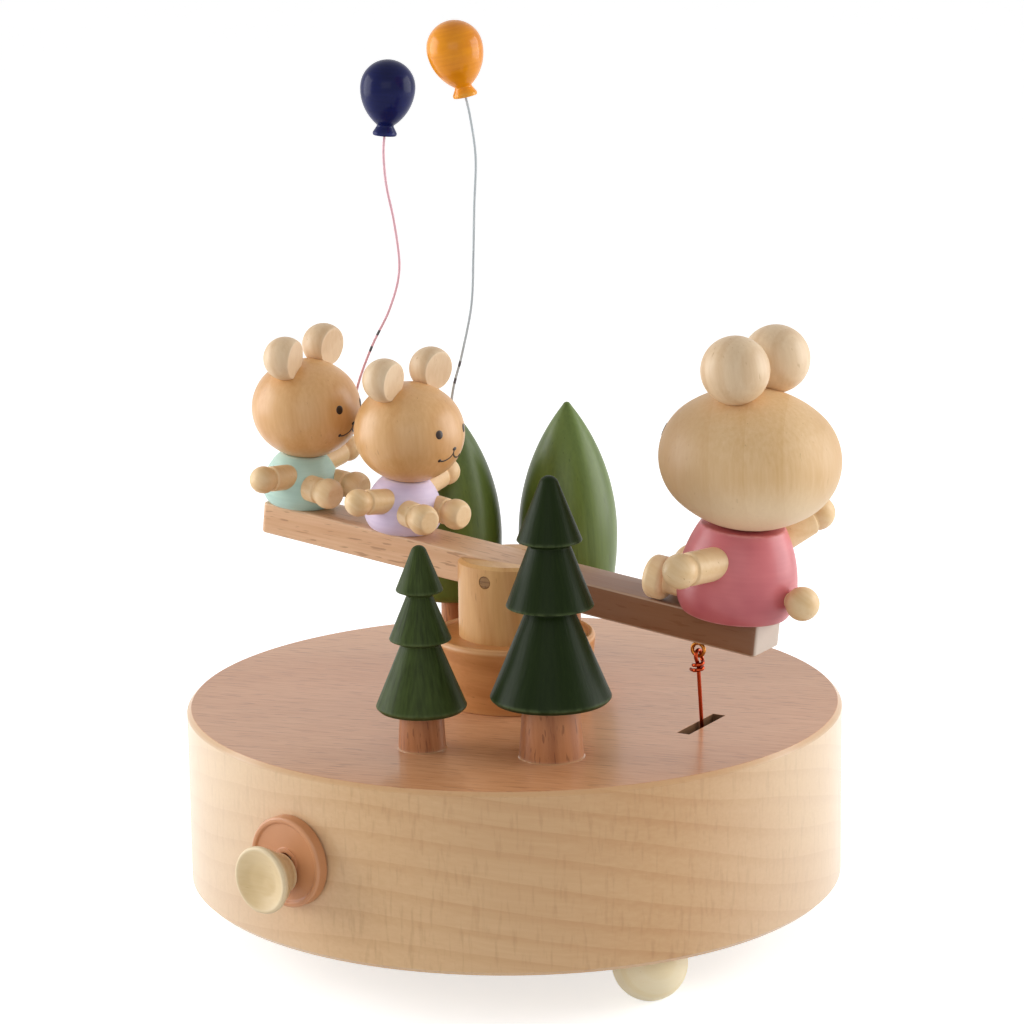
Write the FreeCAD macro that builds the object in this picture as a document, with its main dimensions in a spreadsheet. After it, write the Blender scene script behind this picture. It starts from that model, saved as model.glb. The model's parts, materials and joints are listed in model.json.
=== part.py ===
# A wooden music box. Three bears ride a seesaw over a round base. A small spring movement inside the
# base turns a crank, and a wire from the crank rocks the seesaw through a slot in the top.
# All lengths are millimetres and all angles are degrees. +Z is up, the floor is z = 0, and the origin
# is the middle of the base. The front of the object looks along -Y.
import FreeCAD
import Part
import Sketcher
import math
import os
from types import SimpleNamespace

Vector = FreeCAD.Vector
Placement = FreeCAD.Placement
Rotation = FreeCAD.Rotation
UP = Vector(0, 0, 1)
ALONG_X = Vector(1, 0, 0)
ALONG_Y = Vector(0, 1, 0)

document = FreeCAD.newDocument("MusicBox")
sheet = document.addObject("Spreadsheet::Sheet", "Sizes")
size = SimpleNamespace()


class Term:
    """A number together with the words that make it from the sheet's cells."""

    def __init__(self, number, words=None):
        self.number = float(number)
        self.words = words or "(%s)" % repr(round(float(number), 9))

    def join(self, other, sign, number):
        return Term(number, "(%s %s %s)" % (self.words, sign, other.words))

    def __add__(self, other):
        return self.join(term(other), "+", self.number + term(other).number)

    def __sub__(self, other):
        return self.join(term(other), "-", self.number - term(other).number)

    def __mul__(self, other):
        return self.join(term(other), "*", self.number * term(other).number)

    def __truediv__(self, other):
        return self.join(term(other), "/", self.number / term(other).number)

    def __neg__(self):
        return Term(0) - self

    def __radd__(self, other):
        return term(other) + self

    def __rsub__(self, other):
        return term(other) - self

    def __rmul__(self, other):
        return term(other) * self


def term(value):
    """A Term as it is, or a plain number made into one."""
    return value if isinstance(value, Term) else Term(value)


def root(value):
    """Square root."""
    return Term(math.sqrt(value.number), "sqrt(%s)" % value.words)


def sine(angle):
    """Sine of an angle in degrees."""
    return Term(math.sin(math.radians(angle.number)), "sin(%s * 1 deg)" % angle.words)


def cosine(angle):
    """Cosine of an angle in degrees."""
    return Term(math.cos(math.radians(angle.number)), "cos(%s * 1 deg)" % angle.words)


def leg(long_side, short_side):
    """The other leg of a right triangle with this long side."""
    return root(long_side * long_side - short_side * short_side)


def sizes(group):
    """Write a group of sizes into the sheet, each cell under its own name, and keep each as a Term."""
    start = len(vars(size))
    for count, (name, value) in enumerate(group.items()):
        row = start + count + 1
        sheet.set("A%d" % row, name)
        sheet.set("B%d" % row, str(value))
        sheet.setAlias("B%d" % row, name)
        setattr(size, name, None)
    document.recompute()
    for name in group:
        setattr(size, name, Term(getattr(sheet, name), "Sizes." + name))


# The driving sizes of the round base and what closes it.
base_sizes = {
    "base_wide": 120.0,  # round base, across
    "base_high": 32.5,  # round base, height of the block
    "rim_bevel": 0.8,  # bevel round the top and bottom edges
    "wall_thick": 10.0,  # wall round the hollow
    "roof_thick": 6.0,  # wood left over the hollow
    "rebate_wall": 3.8,  # wall left round the bottom cover
    "cover_thick": 3.0,  # bottom cover, thickness
    "cover_gap": 0.2,  # gap round the cover in its rebate
    "glue_fit": 0.02,  # gap of a glued or pressed peg in its hole
    "running_fit": 0.04,  # gap of a turning shaft in its hole
    "foot_ball": 6.67,  # radius of a ball foot
    "foot_stand": 10.0,  # height of the base over the floor
    "foot_flat": 0.2,  # depth of the flat that a foot stands on
    "foot_inset": 10.5,  # distance of the feet in from the wall
    "foot_bearing": 57.6,  # direction of the first foot
    "foot_dowel": 2.5,  # radius of the dowel over a foot
    "cover_screw_bearing": 117.6,  # direction of the first cover screw
    "cover_screw_long": 10.0,  # cover screw, length
    "cover_screw_wide": 2.5,  # cover screw, shank across
    "screw_head_wide": 4.6,  # countersunk screw head, across
    "screw_head_high": 1.2,  # countersunk screw head, depth
}
sizes(base_sizes)

# The winding knob and the movement's own frame, whose y axis runs away from the knob.
winding_sizes = {
    "knob_bearing": 230.2,  # direction of the winding knob
    "arbor_high": 25.2,  # height of the winding arbor and of the cylinder over the floor
    "arbor_wide": 3.0,  # winding arbor, across
    "arbor_hole_wide": 4.0,  # hole in the wall for the arbor, across
    "winding_plate_wide": 16.0,  # winding plate, across
    "winding_plate_thick": 2.2,  # winding plate, thickness
    "winding_plate_rim": 0.9,  # raised rim of the winding plate, width
    "winding_plate_sink": 0.4,  # how far the face lies behind the rim
    "winding_plate_hole": 7.0,  # hole in the winding plate, across
    "winding_plate_lift": 1.6,  # how far the plate sits over the arbor
    "winding_plate_gap": 0.02,  # gap from the wall to the plate
    "knob_wide": 11.9,  # knob head, across
    "knob_neck_wide": 7.0,  # knob neck, across
    "knob_neck_long": 0.9,  # knob neck, length
    "knob_head_long": 5.0,  # knob head, length
    "knob_stand": 0.4,  # gap from the plate to the knob neck
    "knob_edge": 1.3,  # bevel round the knob's front
    "knob_dish": 0.5,  # depth of the hollow in the knob's front
    "arbor_grip": 3.4,  # length of arbor held in the knob
}
sizes(winding_sizes)

# The pivot: plinth, post, pin and beam.
pivot_sizes = {
    "plinth_foot_wide": 27.8,  # plinth at the bottom, across
    "plinth_rim_wide": 30.0,  # plinth at the rim, across
    "plinth_high": 12.4,  # plinth, height
    "plinth_rim": 1.0,  # rim of the plinth, width
    "plinth_dish": 0.4,  # depth of the plinth's top under its rim
    "post_wide": 20.0,  # post, across
    "post_high": 14.5,  # post over the plinth, height
    "post_edge": 0.6,  # bevel round the post's top
    "spigot_wide": 10.0,  # spigot under the post, across
    "spigot_long": 7.5,  # spigot under the post, length
    "pivot_drop": 2.9,  # depth of the pivot under the post's top
    "beam_gap": 0.25,  # gap from the beam to each side of the slot
    "slot_depth_more": 1.6,  # depth of the slot under the beam's underside
    "pin_wide": 2.3,  # cross pin, across
    "pin_long": 19.8,  # cross pin, length
    "beam_long": 104.7,  # beam, length
    "beam_wide": 10.0,  # beam, width
    "beam_thick": 5.84,  # beam, thickness
    "beam_corner": 1.0,  # radius of the beam's upright corners
    "beam_bearing": -31.0,  # direction of the beam's low end
    "beam_tilt": 6.28,  # slope of the beam at rest
}
sizes(pivot_sizes)

# The screw eye, the pull wire and the slot that it runs in.
eye_sizes = {
    "eye_reach": 39.05,  # distance of the screw eye from the pivot along the beam
    "eye_drop": 5.7,  # depth of the eye's middle under the pivot
    "eye_ring": 1.15,  # radius of the eye's ring to the middle of its wire
    "eye_wire": 0.7,  # eye, wire across
    "eye_shank_wide": 1.1,  # eye shank, across
    "eye_shank_long": 6.0,  # eye shank, length from the ring's top
    "pull_wire_wide": 0.7,  # pull wire, across
    "pull_loop": 1.0,  # radius of the upper loop to the middle of the wire
    "crank_loop": 1.25,  # radius of the lower loop to the middle of the wire
    "wrap_radius": 0.9,  # radius of the wrapped turns to the middle of the wire
    "wrap_pitch": 0.95,  # rise of one wrapped turn
    "wrap_drop": 3.75,  # depth of the lowest turn under the eye
    "crank_throw": 4.0,  # distance of the crank pin from its axis
    "crank_side": 3.7,  # offset of the crank pin beside the beam's line
    "wire_slot_long": 13.9,  # slot in the top, length across the beam's line
    "wire_slot_wide": 2.5,  # slot in the top, width
    "wire_slot_more": 0.6,  # how far the slot's middle lies beyond the wire
}
sizes(eye_sizes)

# The trees. Heights are over the base's top, and each crown is listed from its tip down.
tree_sizes = {
    "small_fir_x": -16.2,  # small fir, place
    "small_fir_y": -32.4,  # small fir, place
    "small_fir_tip": 36.3,  # small fir, height
    "small_fir_nose": 1.4,  # small fir, radius of the tip
    "small_fir_rim_one": 4.2,  # small fir, radius of the top tier
    "small_fir_edge_one": 28.3,  # small fir, height of the top tier's edge
    "small_fir_neck_one": 2.25,  # small fir, radius under the top tier
    "small_fir_rim_two": 5.5,  # small fir, radius of the middle tier
    "small_fir_edge_two": 19.6,  # small fir, height of the middle tier's edge
    "small_fir_neck_two": 3.4,  # small fir, radius under the middle tier
    "small_fir_rim_three": 8.0,  # small fir, radius of the bottom tier
    "small_fir_edge_three": 7.75,  # small fir, height of the bottom tier's edge
    "small_fir_under": 1.4,  # small fir, slope under each tier, height
    "small_fir_trunk_top": 3.8,  # small fir trunk, radius at the top
    "small_fir_trunk_foot": 4.2,  # small fir trunk, radius at the foot
    "large_fir_x": 6.3,  # large fir, place
    "large_fir_y": -38.5,  # large fir, place
    "large_fir_tip": 49.6,  # large fir, height
    "large_fir_nose": 1.7,  # large fir, radius of the tip
    "large_fir_rim_one": 5.7,  # large fir, radius of the top tier
    "large_fir_edge_one": 38.3,  # large fir, height of the top tier's edge
    "large_fir_neck_one": 3.6,  # large fir, radius under the top tier
    "large_fir_rim_two": 7.65,  # large fir, radius of the middle tier
    "large_fir_edge_two": 26.8,  # large fir, height of the middle tier's edge
    "large_fir_neck_two": 4.2,  # large fir, radius under the middle tier
    "large_fir_rim_three": 10.6,  # large fir, radius of the bottom tier
    "large_fir_edge_three": 10.9,  # large fir, height of the bottom tier's edge
    "large_fir_under": 1.2,  # large fir, slope under each tier, height
    "large_fir_trunk_top": 4.9,  # large fir trunk, radius at the top
    "large_fir_trunk_foot": 5.7,  # large fir trunk, radius at the foot
    "left_tree_x": -11.5,  # left rear tree, place
    "right_tree_x": 10.7,  # right rear tree, place
    "rear_tree_y": 35.0,  # rear trees, place
    "left_tree_tip": 47.3,  # left rear tree, height
    "right_tree_tip": 48.3,  # right rear tree, height
    "rear_crown_wide": 19.0,  # rear crown, across
    "rear_crown_waist": 22.5,  # height of the rear crown's widest place
    "rear_crown_low": 17.4,  # rear crown just over its rounded bottom, across
    "rear_crown_round": 2.6,  # radius round the rear crown's bottom edge
    "rear_crown_nose": 0.8,  # radius of the rear crown's tip
    "rear_crown_foot": 10.6,  # height of the rear crown's underside
    "rear_trunk_wide": 4.8,  # rear trunk, across
}
sizes(tree_sizes)

# The two small bears share one set of turned pieces.
cub_sizes = {
    "mint_seat": -47.2,  # mint bear, place along the beam
    "mint_yaw": -6.6,  # mint bear, turn from the beam's line
    "lilac_seat": -24.3,  # lilac bear, place along the beam
    "lilac_yaw": -16.4,  # lilac bear, turn from the beam's line
    "mint_far_bearing": 86.0,  # mint bear's far hand, direction
    "lilac_far_bearing": 99.0,  # lilac bear's far hand, direction
    "cub_foot_wide": 11.6,  # small body at the bottom, across
    "cub_belly_wide": 14.4,  # small body at its widest, across
    "cub_belly_high": 3.0,  # height of the small body's widest place
    "cub_neck_wide": 8.2,  # small body at the top, across
    "cub_body_high": 9.8,  # small body, height
    "cub_head_wide": 20.5,  # small head, across
    "cub_head_high": 18.6,  # small head, height as a whole oval
    "cub_head_round": 8.8,  # small head, radius of the bend at its sides
    "cub_neck_sink": 0.6,  # flat cut under the small head, depth
    "cub_ear_ball": 3.9,  # small ear, radius
    "cub_ear_flat": 2.2,  # flat where the small ear is glued, radius
    "cub_ear_out": 5.65,  # small ear, direction sideways
    "cub_ear_up": 10.9,  # small ear, direction upwards
    "cub_ear_back": 1.4,  # small ear, direction backwards
    "cub_ear_sink": 0.2,  # small ear's seat below the head's top, depth
    "cub_ear_face": 2.8,  # flat front of the small ear, from its middle
    "cub_arm_peg": 2.25,  # small arm, radius
    "cub_hand_ball": 2.5,  # small hand, radius
    "cub_hand_neck": 1.75,  # groove behind the small hand, radius
    "cub_arm_start": 3.4,  # small arm's inner end, from the body's middle
    "cub_shoulder": 6.9,  # small arm's height at the body's middle
    "cub_near_reach": 11.8,  # small near hand, distance from the body's middle
    "cub_near_high": 6.6,  # small near hand, height
    "cub_near_bearing": -92.0,  # small near hand, direction
    "cub_far_reach": 12.0,  # small far hand, distance from the body's middle
    "cub_far_high": 9.0,  # small far hand, height
    "cub_leg_peg": 1.5,  # small leg, radius
    "cub_foot_ball": 3.0,  # small foot, radius
    "cub_foot_neck": 1.4,  # groove behind the small foot, radius
    "cub_foot_face": 2.2,  # flat sole of the small foot, from its middle
    "cub_leg_start": 4.4,  # small leg's inner end, forward
    "cub_leg_out": 3.5,  # small leg's inner end, sideways
    "cub_leg_high": 4.6,  # small leg's inner end, height
    "cub_foot_forward": 9.5,  # small foot, forward
    "cub_foot_out": 3.8,  # small foot, sideways
    "cub_foot_high": 4.8,  # small foot, height
}
sizes(cub_sizes)

# The big bear, which faces the small ones.
big_sizes = {
    "big_seat": 45.3,  # big bear, place along the beam
    "big_yaw": 175.0,  # big bear, turn from the beam's line
    "big_foot_wide": 18.6,  # big body at the bottom, across
    "big_belly_wide": 21.3,  # big body at its widest, across
    "big_belly_high": 4.2,  # height of the big body's widest place
    "big_neck_wide": 15.0,  # big body at the top, across
    "big_body_high": 15.9,  # big body, height
    "big_head_wide": 32.0,  # big head, across
    "big_head_high": 24.8,  # big head, height as a whole oval
    "big_head_round": 10.5,  # big head, radius of the bend at its sides
    "big_neck_sink": 0.4,  # flat cut under the big head, depth
    "big_ear_ball": 5.7,  # big ear, radius
    "big_ear_flat": 2.2,  # flat where the big ear is glued, radius
    "big_ear_out": 7.0,  # big ear, direction sideways
    "big_ear_up": 17.0,  # big ear, direction upwards
    "big_ear_back": 0.2,  # big ear, direction backwards
    "big_ear_sink": 0.05,  # big ear's seat below the head's top, depth
    "big_ear_face": 5.0,  # flat front of the big ear, from its middle
    "big_arm_peg": 2.7,  # big arm, radius
    "big_hand_ball": 2.9,  # big hand, radius
    "big_hand_neck": 2.2,  # groove behind the big hand, radius
    "big_arm_start": 5.0,  # big arm's inner end, from the body's middle
    "big_shoulder": 10.6,  # big arm's height at the body's middle
    "big_near_reach": 17.0,  # big near hand, distance from the body's middle
    "big_near_high": 10.3,  # big near hand, height
    "big_near_bearing": 85.0,  # big near hand, direction
    "big_far_reach": 17.0,  # big far hand, distance from the body's middle
    "big_far_high": 17.2,  # big far hand, height
    "big_far_bearing": -115.0,  # big far hand, direction
    "big_leg_peg": 2.5,  # big leg, radius
    "big_sole_ball": 3.9,  # big foot, radius
    "big_sole_thick": 4.0,  # big foot, thickness
    "big_leg_start": 6.4,  # big leg's inner end, forward
    "big_leg_out": 4.2,  # big leg's inner end, sideways
    "big_leg_high": 4.0,  # big leg's inner end, height
    "big_foot_forward": 13.2,  # big foot, forward
    "big_foot_out": 5.0,  # big foot, sideways
    "big_foot_high": 4.1,  # big foot, height
    "tail_ball": 3.0,  # tail, radius
    "tail_neck": 1.4,  # tail's peg, radius
    "tail_reach": 13.5,  # tail, distance behind the body's middle
    "tail_high": 4.7,  # tail, height
}
sizes(big_sizes)

# The balloons and the wires that hold them up.
balloon_sizes = {
    "balloon_wide": 10.3,  # balloon, across
    "balloon_high": 12.3,  # balloon, height
    "balloon_neck": 1.5,  # balloon at its collar, radius
    "collar_wide": 4.4,  # collar, across
    "collar_high": 1.9,  # collar, height
    "balloon_wire_wide": 0.7,  # balloon wire, across
    "wire_grip": 1.5,  # length of balloon wire held in a hand
    "balloon_grip": 1.6,  # length of balloon wire held in a collar
    "navy_rise": 61.0,  # top of the navy balloon's wire over the hand
    "navy_sway": 10.5,  # widest bend of the navy balloon's wire, sideways
    "orange_rise": 71.6,  # top of the orange balloon's wire over the hand
    "orange_sway": 6.3,  # widest bend of the orange balloon's wire, sideways
}
sizes(balloon_sizes)

# The movement. Its x runs along the pinned cylinder and its y runs away from the knob.
movement_sizes = {
    "bed_thick": 2.0,  # bedplate, thickness
    "bed_corner": 3.0,  # radius of the bedplate's corners
    "bed_far_corner": 7.0,  # radius of the bedplate's corner nearest the wall
    "bed_left": -14.0,  # bedplate, left edge
    "bed_right": 35.0,  # bedplate, right edge
    "bed_front": -13.0,  # bedplate, edge by the knob
    "bed_back": 34.5,  # bedplate, far edge
    "barrel_wide": 19.0,  # spring barrel, across
    "barrel_wall": 0.8,  # spring barrel, wall
    "barrel_front": -5.0,  # spring barrel, end by the knob
    "barrel_back": 5.3,  # spring barrel, far end
    "crown_teeth": 35,  # teeth on the barrel's crown
    "crown_inner": 8.2,  # crown teeth, inner radius
    "crown_outer": 9.3,  # crown teeth, outer radius
    "crown_high": 1.3,  # crown teeth, height
    "tooth_wide": 0.5,  # large teeth, width at the root
    "tooth_tip": 0.3,  # large teeth, width at the tip
    "spring_thick": 0.25,  # mainspring strip, thickness
    "spring_pitch": 0.75,  # mainspring, step from turn to turn
    "spring_turns": 8,  # mainspring, turns
    "spring_inner": 2.25,  # mainspring, innermost radius
    "spring_gap": 0.3,  # gap from the mainspring to the barrel's ends
    "arbor_core": 4.2,  # arbor inside the barrel, across
    "lug_thick": 1.2,  # arbor lugs, thickness
    "lug_half": 4.0,  # arbor lugs, half their width
    "front_lug": -8.6,  # arbor lug by the knob, near face
    "back_lug": 8.0,  # arbor lug behind the barrel, near face
    "lug_over": 3.6,  # wood-side height of a lug over its shaft
    "cylinder_side": 9.5,  # cylinder axis beyond the arbor's middle
    "drum_left": 11.9,  # pinned cylinder, left end
    "drum_right": 29.9,  # pinned cylinder, right end
    "drum_wide": 13.0,  # pinned cylinder, across
    "drum_wall": 0.6,  # pinned cylinder, wall
    "axle_wide": 2.0,  # cylinder axle, across
    "tune_pin_wide": 0.4,  # tune pin, width
    "tune_pin_high": 0.6,  # tune pin, height
    "tune_pins": 54,  # number of tune pins
    "tune_turn": 137.5,  # turn from one tune pin to the next
    "pinion_left": 8.0,  # cylinder pinion, left face
    "pinion_thick": 1.6,  # cylinder pinion, thickness
    "pinion_teeth": 12,  # teeth on the cylinder pinion
    "pinion_root": 2.4,  # cylinder pinion, root radius
    "pinion_tip": 3.45,  # cylinder pinion, tip radius
    "left_lug": 10.2,  # left cylinder lug, left face
    "right_lug": 31.6,  # right cylinder lug, left face
    "cylinder_lug_thick": 1.0,  # cylinder lugs, thickness
    "cylinder_lug_half": 3.4,  # cylinder lugs, half their width
    "end_gear_left": 30.2,  # end gear, left face
    "end_gear_thick": 0.8,  # end gear, thickness
    "end_gear_teeth": 36,  # teeth on the end gear
    "end_gear_root": 6.7,  # end gear, root radius
    "end_gear_tip": 7.5,  # end gear, tip radius
    "fine_tooth_wide": 0.42,  # fine teeth, width at the root
    "fine_tooth_tip": 0.24,  # fine teeth, width at the tip
    "comb_teeth": 18,  # teeth of the comb
    "comb_pitch": 1.0,  # step from tooth to tooth
    "comb_slot": 0.3,  # gap between teeth
    "comb_left": 11.9,  # comb, left edge
    "comb_tip": 16.9,  # comb, tips of the teeth
    "comb_back": 34.0,  # comb, far edge
    "comb_thick": 1.2,  # comb, thickness
    "comb_low_tooth": 11.5,  # longest tooth, length
    "comb_high_tooth": 8.5,  # shortest tooth, length
    "comb_raise": 0.6,  # comb's underside over the cylinder's axis
    "comb_seat_front": 28.9,  # comb seat, near edge
    "comb_seat_back": 34.2,  # comb seat, far edge
    "comb_screw_wide": 2.0,  # comb screw, across
    "comb_screw_head": 3.6,  # comb screw head, across
    "comb_screw_head_high": 1.2,  # comb screw head, height
    "comb_screw_long": 4.5,  # comb screw, length under its head
    "bed_screw_long": 5.0,  # movement screw, length
    "bed_screw_in": 4.0,  # movement screws, distance in from the edges
}
sizes(movement_sizes)

# The governor, which slows the cylinder: a wheel, a worm on an upright spindle and a fan.
governor_sizes = {
    "governor_side": 0.5,  # governor wheel axis beyond the arbor's middle
    "governor_axle": 1.2,  # governor axle, across
    "small_pinion_teeth": 9,  # teeth on the governor pinion
    "small_pinion_root": 1.3,  # governor pinion, root radius
    "small_pinion_tip": 2.15,  # governor pinion, tip radius
    "worm_wheel_left": 31.4,  # worm wheel, left face
    "worm_wheel_teeth": 24,  # teeth on the worm wheel
    "worm_wheel_root": 4.3,  # worm wheel, root radius
    "worm_wheel_tip": 5.1,  # worm wheel, tip radius
    "worm_core": 0.9,  # worm core, radius
    "worm_thread": 0.4,  # worm thread, height
    "worm_gap": 0.06,  # gap from the worm to its wheel
    "worm_long": 6.4,  # worm, length
    "worm_pitch": 1.25,  # worm, step from thread to thread
    "worm_starts": 4,  # threads side by side on the worm
    "spindle_wide": 1.0,  # fan spindle, across
    "fan_reach": 4.5,  # fan, radius
    "fan_thick": 0.5,  # fan blade, thickness
    "fan_low": 30.6,  # fan, lower edge over the floor
    "fan_high": 4.2,  # fan, height
    "bracket_thick": 0.8,  # governor bracket, thickness of its walls
    "bracket_base": 1.2,  # governor bracket, thickness of its foot and arm
    "bracket_left": 28.9,  # governor bracket, left face
    "bracket_right": 33.6,  # governor bracket, inner face of the right wall
    "bracket_front": -8.2,  # governor bracket, edge by the knob
    "bracket_back": 2.2,  # governor bracket, far edge
    "bracket_arm_high": 29.0,  # governor bracket, underside of the arm over the floor
    "crank_wide": 13.0,  # crank disc, across
    "crank_left": 33.2,  # crank disc, left face
    "crank_thick": 1.8,  # crank disc, thickness
    "crank_pin_wide": 1.6,  # crank pin, across
    "crank_pin_long": 1.35,  # crank pin, length
}
sizes(governor_sizes)

# Places that follow from the sizes.
base_bottom = size.foot_stand
base_top = size.foot_stand + size.base_high
base_radius = size.base_wide / 2
cavity_radius = base_radius - size.wall_thick
rebate_radius = base_radius - size.rebate_wall
cover_radius = rebate_radius - size.cover_gap
screw_reach = (cavity_radius + rebate_radius) / 2
foot_reach = base_radius - size.foot_inset
post_top = base_top + size.plinth_high - size.plinth_dish + size.post_high
pivot_high = post_top - size.pivot_drop
movement_turn = size.knob_bearing.number - 270
beam_turn = size.beam_bearing.number
bed_top = base_bottom + size.cover_thick + size.bed_thick


def at(x, y, z):
    """A point from Terms or numbers."""
    return Vector(term(x).number, term(y).number, term(z).number)


def shift(x, y, z):
    """A placement that only moves."""
    return Placement(at(x, y, z), Rotation())


def aim(start, direction):
    """A placement at start whose own Z points along direction."""
    return Placement(start, Rotation(UP, direction))


def turned_by(angle):
    """A placement that only turns about Z."""
    return Placement(Vector(), Rotation(UP, angle))


# The beam's frame: its x runs along the beam to the low end and its z stands square on the beam.
beam_frame = (Placement(at(0, 0, pivot_high), Rotation(UP, beam_turn))
              .multiply(Placement(Vector(), Rotation(ALONG_Y, size.beam_tilt.number))))
movement_frame = turned_by(movement_turn)


def new_body(label, place=None, compound=False):
    """A body with its own label and place."""
    body = document.addObject("PartDesign::Body", label)
    body.Label = label
    body.AllowCompound = compound
    body.Placement = place or Placement()
    return body


def plane(body, role):
    """One of the body's own origin planes or axes."""
    return [item for item in body.Origin.OriginFeatures if item.Role == role][0]


def bind(item, **values):
    """Give an object's properties their values, each bound to the sheet."""
    for name, value in values.items():
        value = term(value)
        setattr(item, name, value.number)
        item.setExpression(name, value.words)
    return item


def outline(body, name, points, role="XZ_Plane", lift=None, turn=0.0):
    """A closed outline in a sketch, every corner measured from the sketch's origin.

    A point is (x, y), or (x, y, radius, side) where an arc of that radius runs to the next
    point with its centre on that side of the way, left or right.
    """
    sketch = body.newObject("Sketcher::SketchObject", name)
    sketch.AttachmentSupport = [(plane(body, role), "")]
    sketch.MapMode = "FlatFace"
    if lift is not None or turn:
        lift = term(lift or 0)
        sketch.AttachmentOffset = Placement(Vector(0, 0, lift.number), Rotation(UP, turn))
        sketch.setExpression("AttachmentOffset.Base.z", lift.words)
    corners = []
    for point in points:
        x, y = term(point[0]), term(point[1])
        radius = term(point[2]) if len(point) > 2 else None
        corners.append((x, y, radius, point[3] if len(point) > 2 else None))
    starts = []
    for index, (x, y, radius, side) in enumerate(corners):
        end_x, end_y = corners[(index + 1) % len(corners)][:2]
        start = Vector(x.number, y.number, 0)
        end = Vector(end_x.number, end_y.number, 0)
        if radius is None:
            sketch.addGeometry(Part.LineSegment(start, end))
            starts.append((1, 2))
            continue
        chord = end - start
        left = Vector(-chord.y, chord.x, 0).normalize()
        depth = math.sqrt(max(radius.number ** 2 - (chord.Length / 2) ** 2, 0.0))
        sign = 1 if side == "left" else -1
        centre = (start + end) * 0.5 + left * (sign * depth)
        first, last = (start, end) if sign > 0 else (end, start)
        angles = [math.atan2(spot.y - centre.y, spot.x - centre.x) for spot in (first, last)]
        circle = Part.Circle(centre, UP, radius.number)
        sketch.addGeometry(Part.ArcOfCircle(circle, angles[0], angles[1]))
        starts.append((1, 2) if sign > 0 else (2, 1))
    for index, (x, y, radius, side) in enumerate(corners):
        follower = (index + 1) % len(corners)
        sketch.addConstraint(Sketcher.Constraint(
            "Coincident", index, starts[index][1], follower, starts[follower][0]))
        spot = (index, starts[index][0])
        for kind, value, axis in (("DistanceX", x, -2), ("DistanceY", y, -1)):
            if value.words == "(0.0)":
                sketch.addConstraint(Sketcher.Constraint("PointOnObject", *spot, axis))
                continue
            number = sketch.addConstraint(Sketcher.Constraint(kind, -1, 1, *spot, value.number))
            sketch.setExpression("Constraints[%d]" % number, value.words)
        if radius is not None:
            number = sketch.addConstraint(Sketcher.Constraint("Radius", index, radius.number))
            sketch.setExpression("Constraints[%d]" % number, radius.words)
    return sketch


def turned(label, points, place=None, compound=False):
    """A piece turned on a lathe: its half outline, radius and height, spun about its own Z."""
    body = new_body(label, place, compound)
    spin = body.newObject("PartDesign::Revolution", label + "_turning")
    spin.Profile = outline(body, label + "_outline", points)
    spin.ReferenceAxis = (spin.Profile[0], ["V_Axis"])
    spin.Angle = 360
    return body


def padded(body, name, points, thick, lift=None, role="XY_Plane", turn=0.0):
    """A flat outline given a thickness."""
    pad = body.newObject("PartDesign::Pad", name)
    pad.Profile = outline(body, name + "_outline", points, role, lift, turn)
    bind(pad, Length=thick)
    return pad


def feature(body, kind, name, place=None, **values):
    """Add or take away a simple shape in the body's own frame."""
    item = body.newObject("PartDesign::" + kind, name)
    item.Placement = place or Placement()
    return bind(item, **values)


def bore(body, name, start, direction, radius, depth):
    """Drill a round hole from start along direction, both in the body's own frame."""
    return feature(body, "SubtractiveCylinder", name, aim(start, direction), Radius=radius, Height=depth)


def box(body, kind, name, low, high, frame=None):
    """A box between two corners, each three Terms or numbers, in the body's own frame."""
    low = [term(value) for value in low]
    high = [term(value) for value in high]
    place = (frame or Placement()).multiply(shift(*low))
    return feature(body, kind, name, place, Length=high[0] - low[0], Width=high[1] - low[1],
                   Height=high[2] - low[2])


def guide(body, name):
    """An empty sketch on the body's own XY plane, whose normal is the axis of a repeat."""
    sketch = body.newObject("Sketcher::SketchObject", name)
    sketch.AttachmentSupport = [(plane(body, "XY_Plane"), "")]
    sketch.MapMode = "FlatFace"
    return sketch


def thirds(bearing, reach, high=0.0):
    """Three places at this reach, a third of a turn apart, the first at this bearing."""
    return [turned_by(bearing.number + turn).multiply(shift(reach, 0, high)) for turn in (0, 120, 240)]


def around(body, name, originals, count):
    """Repeat features drawn as sketches round the body's own Z."""
    centre = guide(body, name + "_guide")
    pattern = body.newObject("PartDesign::PolarPattern", name)
    pattern.Originals = originals
    pattern.Axis = (centre, ["N_Axis"])
    pattern.Angle = 360
    pattern.Occurrences = int(term(count).number)
    pattern.setExpression("Occurrences", term(count).words)
    body.Tip = pattern
    return pattern


def upright_arc(across, rise):
    """Radius of an arc that starts upright and has moved across by the time it has risen."""
    return (across * across + rise * rise) / (2 * across)


def cap_arc(across, rise):
    """Radius of a ball's cap of this radius and height, whose centre is on the axis."""
    return (across * across + rise * rise) / (2 * rise)


# Round base: one turned block, hollow from below, rebated for its cover.
roof_under = size.base_high - size.roof_thick
base = turned("base_body", [
    (0, roof_under),
    (cavity_radius, roof_under),
    (cavity_radius, size.cover_thick),
    (rebate_radius, size.cover_thick),
    (rebate_radius, 0),
    (base_radius - size.rim_bevel, 0),
    (base_radius, size.rim_bevel),
    (base_radius, size.base_high - size.rim_bevel),
    (base_radius - size.rim_bevel, size.base_high),
    (0, size.base_high),
], shift(0, 0, base_bottom))
knob_way = Vector(math.cos(math.radians(size.knob_bearing.number)),
                  math.sin(math.radians(size.knob_bearing.number)), 0)
arbor_rise = size.arbor_high - base_bottom
wall_start = cavity_radius - 2
bore(base, "arbor_hole", knob_way * wall_start.number + at(0, 0, arbor_rise), knob_way,
     size.arbor_hole_wide / 2, base_radius - wall_start + 1)
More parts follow.
